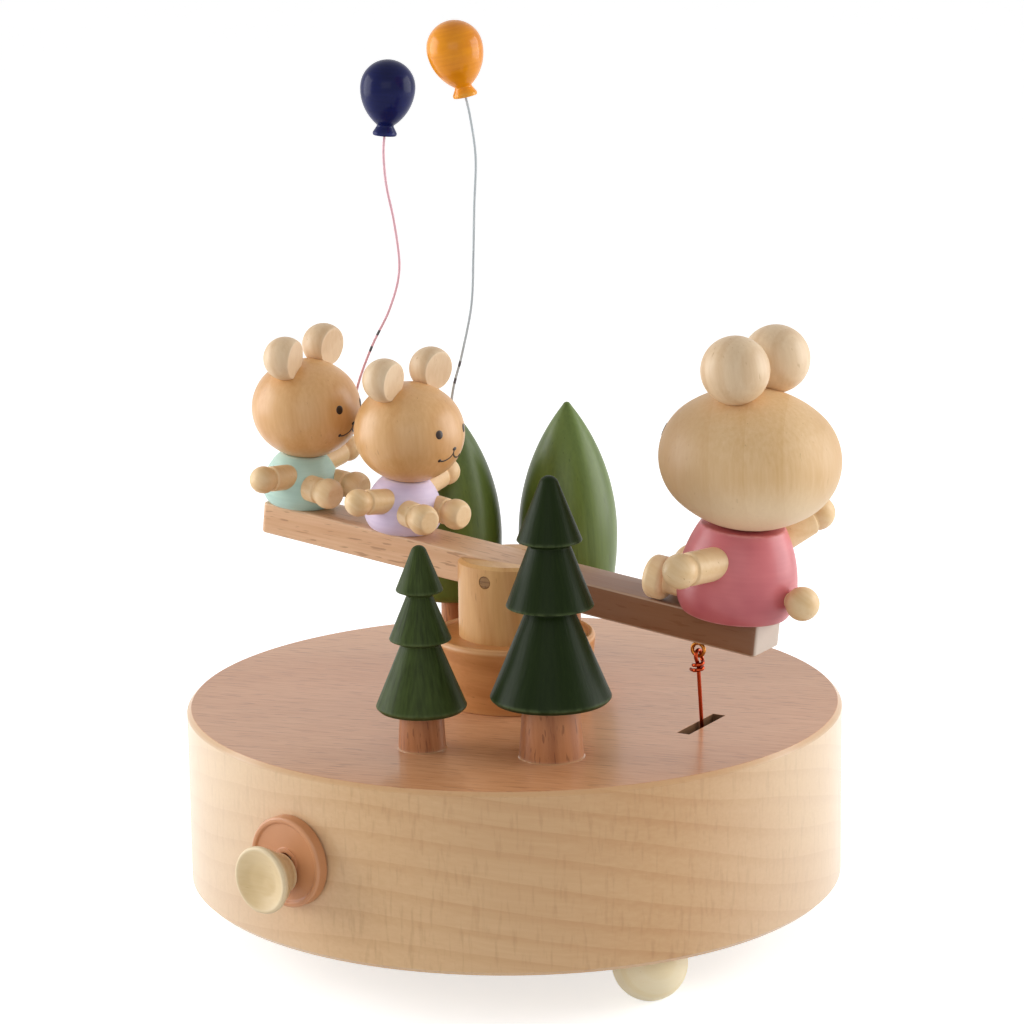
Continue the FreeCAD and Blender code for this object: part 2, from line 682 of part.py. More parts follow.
# The wire slot is cut through the roof, square to the beam's line.
eye_ring_place = beam_frame.multVec(at(size.eye_reach, 0, -size.eye_drop))
wire_reach = size.eye_reach * cosine(size.beam_tilt) - size.eye_drop * sine(size.beam_tilt)
wire_slot_reach = wire_reach + size.wire_slot_more
box(base, "SubtractiveBox", "wire_slot",
    (wire_slot_reach - size.wire_slot_wide / 2, -size.wire_slot_long / 2, roof_under - 1),
    (wire_slot_reach + size.wire_slot_wide / 2, size.wire_slot_long / 2, size.base_high + 1),
    turned_by(beam_turn))
for number, spot in enumerate(thirds(size.cover_screw_bearing, screw_reach,
                                     size.cover_thick - 0.5)):
    feature(base, "SubtractiveCylinder", "cover_pilot%d" % number, spot,
            Radius=size.cover_screw_wide / 2 + size.glue_fit,
            Height=size.cover_screw_long - size.cover_thick + 0.8)

# Bottom cover: a thin disc with countersunk holes and sockets for the feet.
cover = turned("bottom_cover", [
    (0, 0),
    (cover_radius, 0),
    (cover_radius, size.cover_thick),
    (0, size.cover_thick),
], shift(0, 0, base_bottom))
screw_spots = thirds(size.cover_screw_bearing, screw_reach)
foot_spots = thirds(size.foot_bearing, foot_reach)
for number, spot in enumerate(foot_spots):
    feature(cover, "SubtractiveCylinder", "foot_socket%d" % number, spot.multiply(shift(0, 0, -1)),
            Radius=size.foot_dowel + size.glue_fit, Height=size.cover_thick + 2)
bed_screw_spots = (
    (size.bed_left + size.bed_screw_in, size.bed_front + size.bed_screw_in),
    (size.bed_left + size.bed_screw_in, size.bed_back - size.bed_screw_in),
    (size.bed_right - size.bed_screw_in * 2, size.bed_front + size.bed_screw_in),
)
movement_spots = [movement_frame.multiply(shift(x, y, 0)) for x, y in bed_screw_spots]
for number, spot in enumerate(screw_spots + movement_spots):
    feature(cover, "SubtractiveCylinder", "screw_hole%d" % number, spot,
            Radius=size.cover_screw_wide / 2 + size.glue_fit, Height=size.cover_thick + 2)
    feature(cover, "SubtractiveCone", "screw_sink%d" % number, spot,
            Radius1=size.screw_head_wide / 2 + size.glue_fit,
            Radius2=size.cover_screw_wide / 2 + size.glue_fit, Height=size.screw_head_high)


def countersunk_screws(label, spots, long):
    """Countersunk screws that point up, one at each spot."""
    body = new_body(label, shift(0, 0, base_bottom), True)
    for number, spot in enumerate(spots):
        feature(body, "AdditiveCylinder", label + "_shank%d" % number, spot,
                Radius=size.cover_screw_wide / 2, Height=long)
        feature(body, "AdditiveCone", label + "_head%d" % number, spot,
                Radius1=size.screw_head_wide / 2, Radius2=size.cover_screw_wide / 2,
                Height=size.screw_head_high)


countersunk_screws("cover_screws", screw_spots, size.cover_screw_long)
countersunk_screws("movement_screws", movement_spots, size.bed_screw_long)

# Three ball feet: each a ball with a flat above and below, and a dowel in the cover.
foot_centre = size.foot_ball - size.foot_flat
feet = new_body("ball_feet", None, True)
low_angle = Term(math.degrees(math.asin(-foot_centre.number / size.foot_ball.number)),
                 "-asin(%s)" % (foot_centre / size.foot_ball).words)
rise_share = (size.foot_stand - foot_centre) / size.foot_ball
high_angle = Term(math.degrees(math.asin(rise_share.number)), "asin(%s)" % rise_share.words)
for number, spot in enumerate(foot_spots):
    feature(feet, "AdditiveSphere", "foot_ball%d" % number, spot.multiply(shift(0, 0, foot_centre)),
            Radius=size.foot_ball, Angle1=low_angle, Angle2=high_angle)
    feature(feet, "AdditiveCylinder", "foot_dowel%d" % number,
            spot.multiply(shift(0, 0, size.foot_stand - 1)),
            Radius=size.foot_dowel, Height=size.cover_thick + 0.8)

# Winding plate: a moulded disc with a raised rim, tangent to the wall.
plate_start = base_radius + size.winding_plate_gap
plate_radius = size.winding_plate_wide / 2
plate_face = size.winding_plate_thick - size.winding_plate_sink
plate_frame = aim(knob_way * plate_start.number + at(0, 0, size.arbor_high + size.winding_plate_lift),
                  knob_way)
turned("winding_plate", [
    (size.winding_plate_hole / 2, 0),
    (plate_radius, 0),
    (plate_radius, size.winding_plate_thick - 0.4),
    (plate_radius - 0.4, size.winding_plate_thick),
    (plate_radius - size.winding_plate_rim, size.winding_plate_thick),
    (plate_radius - size.winding_plate_rim - 0.3, plate_face),
    (size.winding_plate_hole / 2, plate_face),
], plate_frame)

# Winding knob: a turned mushroom head with a neck, bored for the arbor.
knob_start = plate_start + size.winding_plate_thick + size.knob_stand
knob_radius = size.knob_wide / 2
knob_end = size.knob_neck_long + size.knob_head_long
knob_frame = aim(knob_way * knob_start.number + at(0, 0, size.arbor_high), knob_way)
knob = turned("knob_head", [
    (0, 0),
    (size.knob_neck_wide / 2, 0),
    (size.knob_neck_wide / 2, size.knob_neck_long),
    (knob_radius, size.knob_neck_long + 0.9),
    (knob_radius, knob_end - size.knob_edge),
    (knob_radius - size.knob_edge * 0.6, knob_end),
    (knob_radius - size.knob_edge, knob_end),
    (0, knob_end - size.knob_dish),
], knob_frame)
bore(knob, "arbor_socket", Vector(0, 0, -0.5), UP, size.arbor_wide / 2 + size.glue_fit, size.arbor_grip + 0.5)

# Plinth: a shallow turned cup with a wide top, bored for the post's spigot.
plinth_top = size.plinth_high - size.plinth_dish
plinth = turned("pivot_plinth", [
    (0, 0),
    (size.plinth_foot_wide / 2, 0),
    (size.plinth_rim_wide / 2, size.plinth_high - 0.6),
    (size.plinth_rim_wide / 2 - 0.5, size.plinth_high),
    (size.plinth_rim_wide / 2 - size.plinth_rim, size.plinth_high),
    (size.plinth_rim_wide / 2 - size.plinth_rim - size.plinth_dish, plinth_top),
    (0, plinth_top),
], shift(0, 0, base_top))
bore(plinth, "spigot_socket", at(0, 0, plinth_top - size.spigot_long - 0.3), UP,
     size.spigot_wide / 2 + size.glue_fit, size.spigot_long + 1)

# Post: a turned cylinder with a spigot, slotted from above for the beam and cross drilled for the pin.
post_radius = size.post_wide / 2
pivot_rise = size.post_high - size.pivot_drop
post = turned("pivot_post", [
    (0, -size.spigot_long),
    (size.spigot_wide / 2, -size.spigot_long),
    (size.spigot_wide / 2, 0),
    (post_radius, 0),
    (post_radius, size.post_high - size.post_edge),
    (post_radius - size.post_edge, size.post_high),
    (0, size.post_high),
], Placement(at(0, 0, base_top + plinth_top), Rotation(UP, beam_turn)))
slot_half = size.beam_wide / 2 + size.beam_gap
slot_floor = pivot_rise - size.beam_thick / 2 - size.slot_depth_more
box(post, "SubtractiveBox", "beam_slot",
    (-post_radius - 1, -slot_half, slot_floor),
    (post_radius + 1, slot_half, size.post_high + 1))
bore(post, "pin_hole", at(0, -post_radius - 1, pivot_rise), ALONG_Y,
     size.pin_wide / 2 + size.glue_fit, size.post_wide + 2)

# Cross pin: a plain dowel across the slot.
pin = turned("pivot_pin", [
    (0, -size.pin_long / 2),
    (size.pin_wide / 2 - 0.2, -size.pin_long / 2),
    (size.pin_wide / 2, 0.2 - size.pin_long / 2),
    (size.pin_wide / 2, size.pin_long / 2 - 0.2),
    (size.pin_wide / 2 - 0.2, size.pin_long / 2),
    (0, size.pin_long / 2),
], Placement(at(0, 0, pivot_high), Rotation(UP, beam_turn)).multiply(aim(Vector(), ALONG_Y)))

# Seesaw beam: a planed bar with rounded ends, drilled for the pin and for the eye's shank.
beam = new_body("seesaw_beam", beam_frame)
half_long = size.beam_long / 2
half_wide = size.beam_wide / 2
corner = size.beam_corner
padded(beam, "beam_bar", [
    (-half_long + corner, -half_wide),
    (half_long - corner, -half_wide, corner, "left"),
    (half_long, -half_wide + corner),
    (half_long, half_wide - corner, corner, "left"),
    (half_long - corner, half_wide),
    (-half_long + corner, half_wide, corner, "left"),
    (-half_long, half_wide - corner),
    (-half_long, -half_wide + corner, corner, "left"),
], size.beam_thick, -size.beam_thick / 2)
bore(beam, "beam_pin_hole", at(0, -half_wide - 1, 0), ALONG_Y,
     size.pin_wide / 2 + size.running_fit, size.beam_wide + 2)
shank_top = size.eye_ring + size.eye_shank_long - size.eye_drop
bore(beam, "eye_hole", at(size.eye_reach, 0, -size.beam_thick / 2 - 1), UP,
     size.eye_shank_wide / 2 + size.running_fit, shank_top + size.beam_thick / 2 + 1.2)

# Screw eye: a ring of wire under a straight shank.
eye = new_body("screw_eye", beam_frame.multiply(shift(size.eye_reach, 0, -size.eye_drop)))
feature(eye, "AdditiveTorus", "eye_ring_shape", Placement(Vector(), Rotation(ALONG_X, 90)),
        Radius1=size.eye_ring, Radius2=size.eye_wire / 2)
feature(eye, "AdditiveCylinder", "eye_shank_shape", shift(0, 0, size.eye_ring),
        Radius=size.eye_shank_wide / 2, Height=size.eye_shank_long)


def rounded_route(points, share=0.45):
    """Straight runs joined by tangent arcs, each arc as large as its two runs allow."""
    edges = []
    radii = []
    here = points[0]
    for before, corner_spot, after in zip(points, points[1:], points[2:]):
        inward = corner_spot - before
        outward = after - corner_spot
        trim = share * min(inward.Length, outward.Length)
        half_turn = inward.getAngle(outward) / 2
        radius = trim / math.tan(half_turn)
        inward.normalize()
        outward.normalize()
        first = corner_spot - inward * trim
        last = corner_spot + outward * trim
        bisector = (outward - inward).normalize()
        centre = corner_spot + bisector * (radius / math.cos(half_turn))
        middle = centre - bisector * radius
        edges.append(Part.LineSegment(here, first).toShape())
        edges.append(Part.Arc(first, middle, last).toShape())
        radii.append(radius)
        here = last
    edges.append(Part.LineSegment(here, points[-1]).toShape())
    return Part.Wire(edges), radii


def wire_piece(label, points, across, place=None, share=0.45):
    """A bent wire as one unbroken tube along its route."""
    path, radii = rounded_route(points, share)
    across = across.number
    start = points[0]
    ring = Part.Circle(start, points[1] - start, across / 2).toShape()
    shape = path.makePipeShell([Part.Wire([ring])], True, False)
    expected = math.pi * (across / 2) ** 2 * path.Length
    print("%s: least bend radius %.2f, volume %.3f of %.3f" % (label, min(radii), shape.Volume, expected))
    item = document.addObject("Part::Feature", label)
    item.Label = label
    item.Shape = shape
    item.Placement = place or Placement()
    return item


# Pull wire: a loop in the eye, turns wrapped round its own shank, and a loop over the crank pin.
crank_high = size.arbor_high - size.crank_throw
wire_frame = Placement(eye_ring_place, Rotation(UP, beam_turn))
drop = eye_ring_place.z - crank_high.number
foot_spot = Vector(0, size.crank_side.number, -drop)
upper = size.pull_loop.number
lower = size.crank_loop.number
wrap = size.wrap_radius.number
rise = size.wrap_pitch.number
wrap_low = -size.wrap_drop.number
tail_turn = 225.0
route = [Vector(-1.5, 0.2, wrap_low - 0.1)]
for turn in range(13):
    angle = math.radians(tail_turn + 45.0 * turn)
    route.append(Vector(wrap * math.cos(angle), wrap * math.sin(angle), wrap_low + rise * turn / 8.0))
route.append(Vector(0.15, upper, -upper * 1.7))
for angle in (0, 45, 90, 135, 180):
    angle = math.radians(angle)
    route.append(Vector(0, upper * math.cos(angle), upper * math.sin(angle) - upper))
route.append(Vector(0, -upper * 0.62, -upper * 1.9))
route.append(Vector(0, 0, -upper * 2.6))
route.append(foot_spot + Vector(0, -0.25, lower + 0.9))
for angle in (150, 195, 240, 285, 330, 375, 410):
    angle = math.radians(angle)
    route.append(foot_spot + Vector(0, lower * math.cos(angle), lower * math.sin(angle)))
wire_piece("pull_wire", route, size.pull_wire_wide, wire_frame, 0.47)


# Trees stand on the base's top.
def fir(name, s):
    """A fir: three turned tiers over a plain trunk."""
    under = s.under
    foot = s.edge_three - under
    place = shift(s.x, s.y, base_top)
    nose_drop = s.nose * 0.75
    turned(name + "_crown", [
        (0, foot),
        (s.rim_three - under, foot),
        (s.rim_three, s.edge_three),
        (s.neck_two, s.edge_two - under),
        (s.rim_two, s.edge_two),
        (s.neck_one, s.edge_one - under),
        (s.rim_one, s.edge_one),
        (s.nose, s.tip - nose_drop, cap_arc(s.nose, nose_drop), "left"),
        (0, s.tip),
    ], place)
    turned(name + "_trunk", [
        (0, 0),
        (s.trunk_foot, 0),
        (s.trunk_top, foot),
        (0, foot),
    ], place)


def named(prefix):
    """The sizes whose names start with this prefix, under the rest of their names."""
    return SimpleNamespace(**{key[len(prefix):]: value for key, value in vars(size).items()
                              if key.startswith(prefix)})


fir("small_fir", named("small_fir_"))
fir("large_fir", named("large_fir_"))


def rear_tree(name, x, tip):
    """A rear tree: a turned spindle crown, pointed above and rounded below, on a thin trunk."""
    place = shift(x, size.rear_tree_y, base_top)
    wide = size.rear_crown_wide / 2
    low = size.rear_crown_low / 2
    round_off = size.rear_crown_round
    foot = size.rear_crown_foot
    waist = size.rear_crown_waist
    nose = size.rear_crown_nose
    nose_drop = nose * 0.75
    turned(name + "_crown", [
        (0, foot),
        (low - round_off, foot, round_off, "left"),
        (low, foot + round_off, upright_arc(wide - low, waist - foot - round_off), "left"),
        (wide, waist, upright_arc(wide - nose, tip - nose_drop - waist), "left"),
        (nose, tip - nose_drop, cap_arc(nose, nose_drop), "left"),
        (0, tip),
    ], place)
    turned(name + "_trunk", [
        (0, 0),
        (size.rear_trunk_wide / 2, 0),
        (size.rear_trunk_wide / 2, foot),
        (0, foot),
    ], place)


rear_tree("left_tree", size.left_tree_x, size.left_tree_tip)
rear_tree("right_tree", size.right_tree_x, size.right_tree_tip)


# Bears: turned bodies, heads, ears, arms and legs, each glued into its neighbour.
def polar(reach, bearing, height):
    """A point at a reach and a bearing round the bear's own Z."""
    angle = math.radians(bearing.number)
    return Vector(reach.number * math.cos(angle), reach.number * math.sin(angle), height.number)


def oval(name, wide, high, bend, under, place):
    """A turned oval with a flat below: a bend at its sides and a flatter crown above and below."""
    a = wide / 2
    b = high / 2
    crown = ((a - bend) * (a - bend) + b * b - bend * bend) / (2 * (b - bend))
    share = bend / (crown - bend)
    join_out = (a - bend) + (a - bend) * share
    join_up = (crown - b) * share
    flat_low = b - under
    flat = leg(crown, crown - b + flat_low)
    return turned(name, [
        (0, -flat_low),
        (flat, -flat_low, crown, "left"),
        (join_out, -join_up, bend, "left"),
        (join_out, join_up, crown, "left"),
        (0, b),
    ], place)


def limb(label, frame, start, tip, peg, ball_radius, neck, flat=None):
    """An arm or a leg: a peg, a groove and a ball, turned along its own axis."""
    along = tip - start
    reach = Term(along.Length)
    dip = leg(ball_radius, neck)
    points = [
        (0, 0),
        (peg, 0),
        (peg, reach - dip - 0.5),
        (neck, reach - dip - 0.3),
        (neck, reach - dip, ball_radius, "left"),
    ]
    if flat is None:
        points.append((0, reach + ball_radius))
    else:
        points.append((leg(ball_radius, flat), reach + flat))
        points.append((0, reach + flat))
    return turned(label, points, frame.multiply(aim(start, along)))


def ear_ways(s):
    """The directions from the head's middle to its two ears."""
    return [Vector(-s.ear_back.number, s.ear_out.number * sign, s.ear_up.number).normalize()
            for sign in (1, -1)]


def ears(label, frame, centre_high, s, seat):
    """Two ear balls, each with a flat on the head and a flat face in front."""
    lift = leg(s.ear_ball, s.ear_flat)
    share = lift / s.ear_ball
    seat_angle = Term(-math.degrees(math.asin(share.number)), "-asin(%s)" % share.words)
    body = new_body(label, frame.multiply(shift(0, 0, centre_high)), True)
    for number, way in enumerate(ear_ways(s)):
        middle = way * (seat + lift).number
        feature(body, "AdditiveSphere", "%s_ball%d" % (label, number), aim(middle, way),
                Radius=s.ear_ball, Angle1=seat_angle)
        box(body, "SubtractiveBox", "%s_face%d" % (label, number),
            (s.ear_face, -s.ear_ball - 1, -s.ear_ball - 1),
            (s.ear_ball + 1, s.ear_ball + 1, s.ear_ball + 1), Placement(middle, Rotation()))


def ear_seats(head, s, seat):
    """Flats on the head under the two ears."""
    for number, way in enumerate(ear_ways(s)):
        feature(head, "SubtractiveCylinder", "%s_ear_seat%d" % (head.Label, number),
                aim(way * seat.number, way), Radius=s.ear_flat + 1.4, Height=s.ear_ball)


def bear(name, seat, yaw, s, far_bearing):
    """A seated bear with everything but its legs' feet, which its own kind shapes."""
    frame = (beam_frame.multiply(shift(seat, 0, size.beam_thick / 2))
             .multiply(turned_by(yaw.number)))
    belly = s.belly_wide / 2
    foot = s.foot_wide / 2
    neck = s.neck_wide / 2
    body = turned(name + "_body", [
        (0, 0),
        (foot, 0, upright_arc(belly - foot, s.belly_high), "left"),
        (belly, s.belly_high, upright_arc(belly - neck, s.body_high - s.belly_high), "left"),
        (neck, s.body_high),
        (0, s.body_high),
    ], frame)
    head_rise = s.body_high + s.head_high / 2 - s.neck_sink
    head = oval(name + "_head", s.head_wide, s.head_high, s.head_round, s.neck_sink,
                frame.multiply(shift(0, 0, head_rise)))
    ear_seat = s.head_high / 2 - s.ear_sink
    ears(name + "_ears", frame, head_rise, s, ear_seat)
    ear_seats(head, s, ear_seat)
    pegs = []
    for side, reach, high, bearing in (
            ("near", s.near_reach, s.near_high, s.near_bearing),
            ("far", s.far_reach, s.far_high, far_bearing)):
        start = polar(s.arm_start, bearing, s.shoulder)
        tip = polar(reach, bearing, high)
        arm = limb("%s_%s_arm" % (name, side), frame, start, tip, s.arm_peg, s.hand_ball, s.hand_neck)
        pegs.append((start, tip, s.arm_peg))
        if side == "far":
            far_hand = (arm, frame.multVec(tip))
    for side, sign in (("right", -1), ("left", 1)):
        start = at(s.leg_start, s.leg_out * sign, s.leg_high)
        tip = at(s.foot_forward, s.foot_out * sign, s.foot_high)
        label = "%s_%s_leg" % (name, side)
        if hasattr(s, "sole_ball"):
            sole_leg(label, frame, start, tip, s)
        else:
            limb(label, frame, start, tip, s.leg_peg, s.foot_ball, s.foot_neck, s.foot_face)
        pegs.append((start, tip, s.leg_peg))
    for number, (start, tip, radius) in enumerate(pegs):
        bore(body, "%s_socket%d" % (name, number), start, tip - start, radius + size.glue_fit, s.belly_wide)
    return body, frame, far_hand


def sole_leg(label, frame, start, tip, s):
    """The big bear's leg: a peg and a domed disc for a foot."""
    along = tip - start
    reach = Term(along.Length)
    wide = s.sole_ball
    near = reach - s.sole_thick / 2
    far = reach + s.sole_thick / 2
    turned(label, [
        (0, 0),
        (s.leg_peg, 0),
        (s.leg_peg, near),
        (wide - 1.0, near, Term(1.0), "left"),
        (wide, near + 1.0),
        (wide, far - 1.2, Term(1.6), "left"),
        (wide - 1.2, far - 0.2),
        (0, far),
    ], frame.multiply(aim(start, along)))


cub = named("cub_")
mint_body, mint_frame, mint_hand = bear("mint", size.mint_seat, size.mint_yaw, cub,
                                         size.mint_far_bearing)
lilac_body, lilac_frame, lilac_hand = bear("lilac", size.lilac_seat, size.lilac_yaw, cub,
                                            size.lilac_far_bearing)
big = named("big_")
big_body, big_frame, big_hand = bear("big", size.big_seat, size.big_yaw, big, size.big_far_bearing)
tail_start = at(-size.tail_reach / 2, 0, size.tail_high)
tail_tip = at(-size.tail_reach, 0, size.tail_high)
limb("big_tail", big_frame, tail_start, tail_tip, size.tail_neck, size.tail_ball, size.tail_neck - 0.1)
bore(big_body, "tail_socket", tail_start, tail_tip - tail_start, size.tail_neck + size.glue_fit,
     size.big_belly_wide)


# Balloons: turned balls with a collar, each on a bent wire held in a small bear's far hand.
def balloon(name, hand, sway, rise, bends):
    """A balloon over the hand. The bends are shares of its sideways sway and of its rise."""
    arm, middle = hand
    spots = [middle + Vector(across * sway.number, 0, up * rise.number) for across, up in bends]
    top = spots[-1]
    way = spots[1] - spots[0]
    way.normalize()
    grip_spot = middle + way * (size.cub_hand_ball - size.wire_grip).number
    hole = arm.Placement.inverse().multiply(aim(grip_spot, way))
    feature(arm, "SubtractiveCylinder", name + "_wire_hole", hole,
            Radius=size.balloon_wire_wide / 2 + size.glue_fit, Height=size.cub_hand_ball)
    wide = size.balloon_wide / 2
    high = size.balloon_high
    neck = size.balloon_neck
    collar = size.collar_high
    waist = collar + high - wide
    top_way = (top - spots[-2]).normalize()
    shape = turned(name + "_balloon", [
        (0, 0),
        (size.collar_wide / 2, 0),
        (size.collar_wide / 2 + 0.1, 0.5),
        (neck, collar, upright_arc(wide - neck, waist - collar), "left"),
        (wide, waist, wide, "left"),
        (0, collar + high),
    ], aim(top - top_way * size.balloon_grip.number, top_way))
    bore(shape, name + "_wire_socket", Vector(0, 0, -0.5), UP,
         size.balloon_wire_wide / 2 + size.glue_fit, size.balloon_grip + 0.7)
    spots[0] = grip_spot
    wire_piece(name + "_balloon_wire", spots, size.balloon_wire_wide)


balloon("navy", mint_hand, size.navy_sway, size.navy_rise, (
    (0, 0), (0.2, 0.19), (0.48, 0.32), (0.82, 0.44), (1.0, 0.56),
    (0.93, 0.7), (0.8, 0.82), (0.76, 0.92), (0.8, 1.0)))
balloon("orange", lilac_hand, size.orange_sway, size.orange_rise, (
    (0, 0), (0.2, 0.2), (0.51, 0.31), (0.81, 0.44), (0.89, 0.57),
    (0.94, 0.7), (1.0, 0.82), (0.87, 0.92), (0.68, 1.0)))


# The movement stands on the bottom cover, inside the hollow. Heights in its frame are over the floor.
def lug(body, name, low, high):
    """An upright lug of the casting."""
    return box(body, "AdditiveBox", name, low, high)


bed_low = base_bottom + size.cover_thick
arbor_high = size.arbor_high
side = size.cylinder_side
bed = new_body("bedplate", movement_frame)
left, right = size.bed_left, size.bed_right
front, back = size.bed_front, size.bed_back
bend = size.bed_corner
far_bend = size.bed_far_corner
padded(bed, "bed_floor", [
    (left + bend, front),
    (right - bend, front, bend, "left"),
    (right, front + bend),
    (right, back - far_bend, far_bend, "left"),
    (right - far_bend, back),
    (left + bend, back, bend, "left"),
    (left, back - bend),
    (left, front + bend, bend, "left"),
], size.bed_thick, bed_low)
for name, near in (("front_lug_wall", size.front_lug), ("back_lug_wall", size.back_lug)):
    lug(bed, name, (-size.lug_half, near, bed_top - 0.5),
        (size.lug_half, near + size.lug_thick, arbor_high + size.lug_over))
for name, near in (("left_lug_wall", size.left_lug), ("right_lug_wall", size.right_lug)):
    lug(bed, name, (near, side - size.cylinder_lug_half, bed_top - 0.5),
        (near + size.cylinder_lug_thick, side + size.cylinder_lug_half, arbor_high + size.lug_over - 0.6))
comb_low = arbor_high + size.comb_raise
comb_long = size.comb_teeth * size.comb_pitch
lug(bed, "comb_seat", (size.comb_left, size.comb_seat_front, bed_top - 0.5),
    (size.comb_left + comb_long, size.comb_seat_back, comb_low))
bore(bed, "arbor_bore", at(0, size.front_lug - 1, arbor_high), ALONG_Y,
     size.arbor_wide / 2 + size.running_fit, size.back_lug + size.lug_thick - size.front_lug + 2)
bore(bed, "axle_bore", at(size.left_lug - 1, side, arbor_high), ALONG_X,
     size.axle_wide / 2 + size.running_fit, size.right_lug - size.left_lug + size.cylinder_lug_thick + 2)
for number, (x, y) in enumerate(bed_screw_spots):
    bore(bed, "bed_screw_bore%d" % number, at(x, y, bed_low - 0.5), UP,
         size.cover_screw_wide / 2 + size.glue_fit, size.bed_thick + 1)
comb_screw_y = (size.comb_seat_front + size.comb_back) / 2
comb_screw_spots = [(size.comb_left + comb_long * share, comb_screw_y) for share in (0.15, 0.5, 0.85)]
for number, (x, y) in enumerate(comb_screw_spots):
    bore(bed, "comb_screw_bore%d" % number, at(x, y, comb_low - size.comb_screw_long), UP,
         size.comb_screw_wide / 2 + size.glue_fit, size.comb_screw_long + 1)


def teeth(body, name, count, inner, outer, wide, tip, low, thick, offset=0.0):
    """Straight teeth all round: one drawn along x and repeated, offset by a share of a tooth."""
    turn = offset * 360.0 / count.number
    tooth = padded(body, name, [
        (inner, -wide / 2),
        (outer, -tip / 2),
        (outer, tip / 2),
        (inner, wide / 2),
    ], thick, low, "XY_Plane", turn)
    around(body, name + "_ring", [tooth], count)


# Spring barrel: a closed drum with a crown of teeth on its far end, free on the arbor.
barrel_frame = movement_frame.multiply(aim(at(0, 0, arbor_high), ALONG_Y))
barrel_radius = size.barrel_wide / 2
hub_bore = size.arbor_wide / 2 + size.running_fit
wall = size.barrel_wall
barrel = turned("spring_barrel", [
    (hub_bore, size.barrel_front),
    (barrel_radius, size.barrel_front),
    (barrel_radius, size.barrel_back),
    (hub_bore, size.barrel_back),
    (hub_bore, size.barrel_back - wall),
    (barrel_radius - wall, size.barrel_back - wall),
    (barrel_radius - wall, size.barrel_front + wall),
    (hub_bore, size.barrel_front + wall),
], barrel_frame)
teeth(barrel, "crown_tooth", size.crown_teeth, size.crown_inner, size.crown_outer, size.tooth_wide,
      size.tooth_wide, size.barrel_back - 0.1, size.crown_high + 0.1, 0.5)

# Mainspring: one strip wound in half circles whose centres change sides at every half turn.
thick = size.spring_thick.number
step = size.spring_pitch.number
turns = int(size.spring_turns.number)
inner_edges = []
outer_edges = []
for half in range(2 * turns):
    middle = Vector(step / 2 if half % 2 else 0, 0, 0)
    sign = -1 if half % 2 else 1
    radius = size.spring_inner.number + half * step / 2
    for edges, edge_radius in ((inner_edges, radius - thick / 2), (outer_edges, radius + thick / 2)):
        edges.append(Part.Arc(middle + Vector(sign * edge_radius, 0, 0),
                              middle + Vector(0, sign * edge_radius, 0),
                              middle - Vector(sign * edge_radius, 0, 0)).toShape())
start_x = size.spring_inner.number
last = 2 * turns - 1
end_x = step / 2 * (last % 2) + (1 if last % 2 else -1) * (start_x + last * step / 2)
start_line = Part.LineSegment(Vector(start_x - thick / 2, 0, 0), Vector(start_x + thick / 2, 0, 0)).toShape()
end_line = Part.LineSegment(Vector(end_x - thick / 2, 0, 0), Vector(end_x + thick / 2, 0, 0)).toShape()
strip = Part.Face(Part.Wire(Part.__sortEdges__(inner_edges + [end_line] + outer_edges + [start_line])))
spring_low = size.barrel_front + wall + size.spring_gap
spring_high = size.barrel_back - wall - size.spring_gap
mainspring = document.addObject("Part::Feature", "mainspring")
mainspring.Label = "mainspring"
mainspring.Shape = strip.extrude(Vector(0, 0, (spring_high - spring_low).number))
mainspring.Placement = barrel_frame.multiply(shift(0, 0, spring_low))
print("mainspring: gap from turn to turn %.2f" % (step - thick))

# Winding arbor: a turned shaft from the knob through the wall and the barrel to the far lug.
knob_distance = knob_start + size.arbor_grip
arbor_end = size.back_lug + size.lug_thick
shaft = size.arbor_wide / 2
core_low = size.barrel_front + wall + 0.1
core_high = size.barrel_back - wall - 0.1
turned("winding_arbor", [
    (0, -knob_distance),
    (shaft, -knob_distance),
    (shaft, core_low),
    (size.arbor_core / 2 - 0.05, core_low),
    (size.arbor_core / 2 - 0.05, core_high),
    (shaft, core_high),
    (shaft, arbor_end),
    (0, arbor_end),
], barrel_frame)

# Pinned cylinder: a hollow drum on an axle, with a pinion at one end and a large gear at the other.
cylinder_frame = movement_frame.multiply(aim(at(0, side, arbor_high), ALONG_X))
axle = size.axle_wide / 2
drum_radius = size.drum_wide / 2
drum_wall = size.drum_wall
crank_right = size.crank_left + size.crank_thick
gear_right = size.end_gear_left + size.end_gear_thick
pinion_right = size.pinion_left + size.pinion_thick
drum = turned("cylinder_drum", [
    (0, size.pinion_left),
    (size.pinion_root, size.pinion_left),
    (size.pinion_root, pinion_right),
    (axle, pinion_right),
    (axle, size.drum_left),
    (drum_radius, size.drum_left),
    (drum_radius, size.drum_right),
    (axle + 0.6, size.drum_right),
    (axle + 0.6, size.end_gear_left),
    (size.end_gear_root, size.end_gear_left),
    (size.end_gear_root, gear_right),
    (axle, gear_right),
    (axle, crank_right),
    (0, crank_right),
], cylinder_frame)
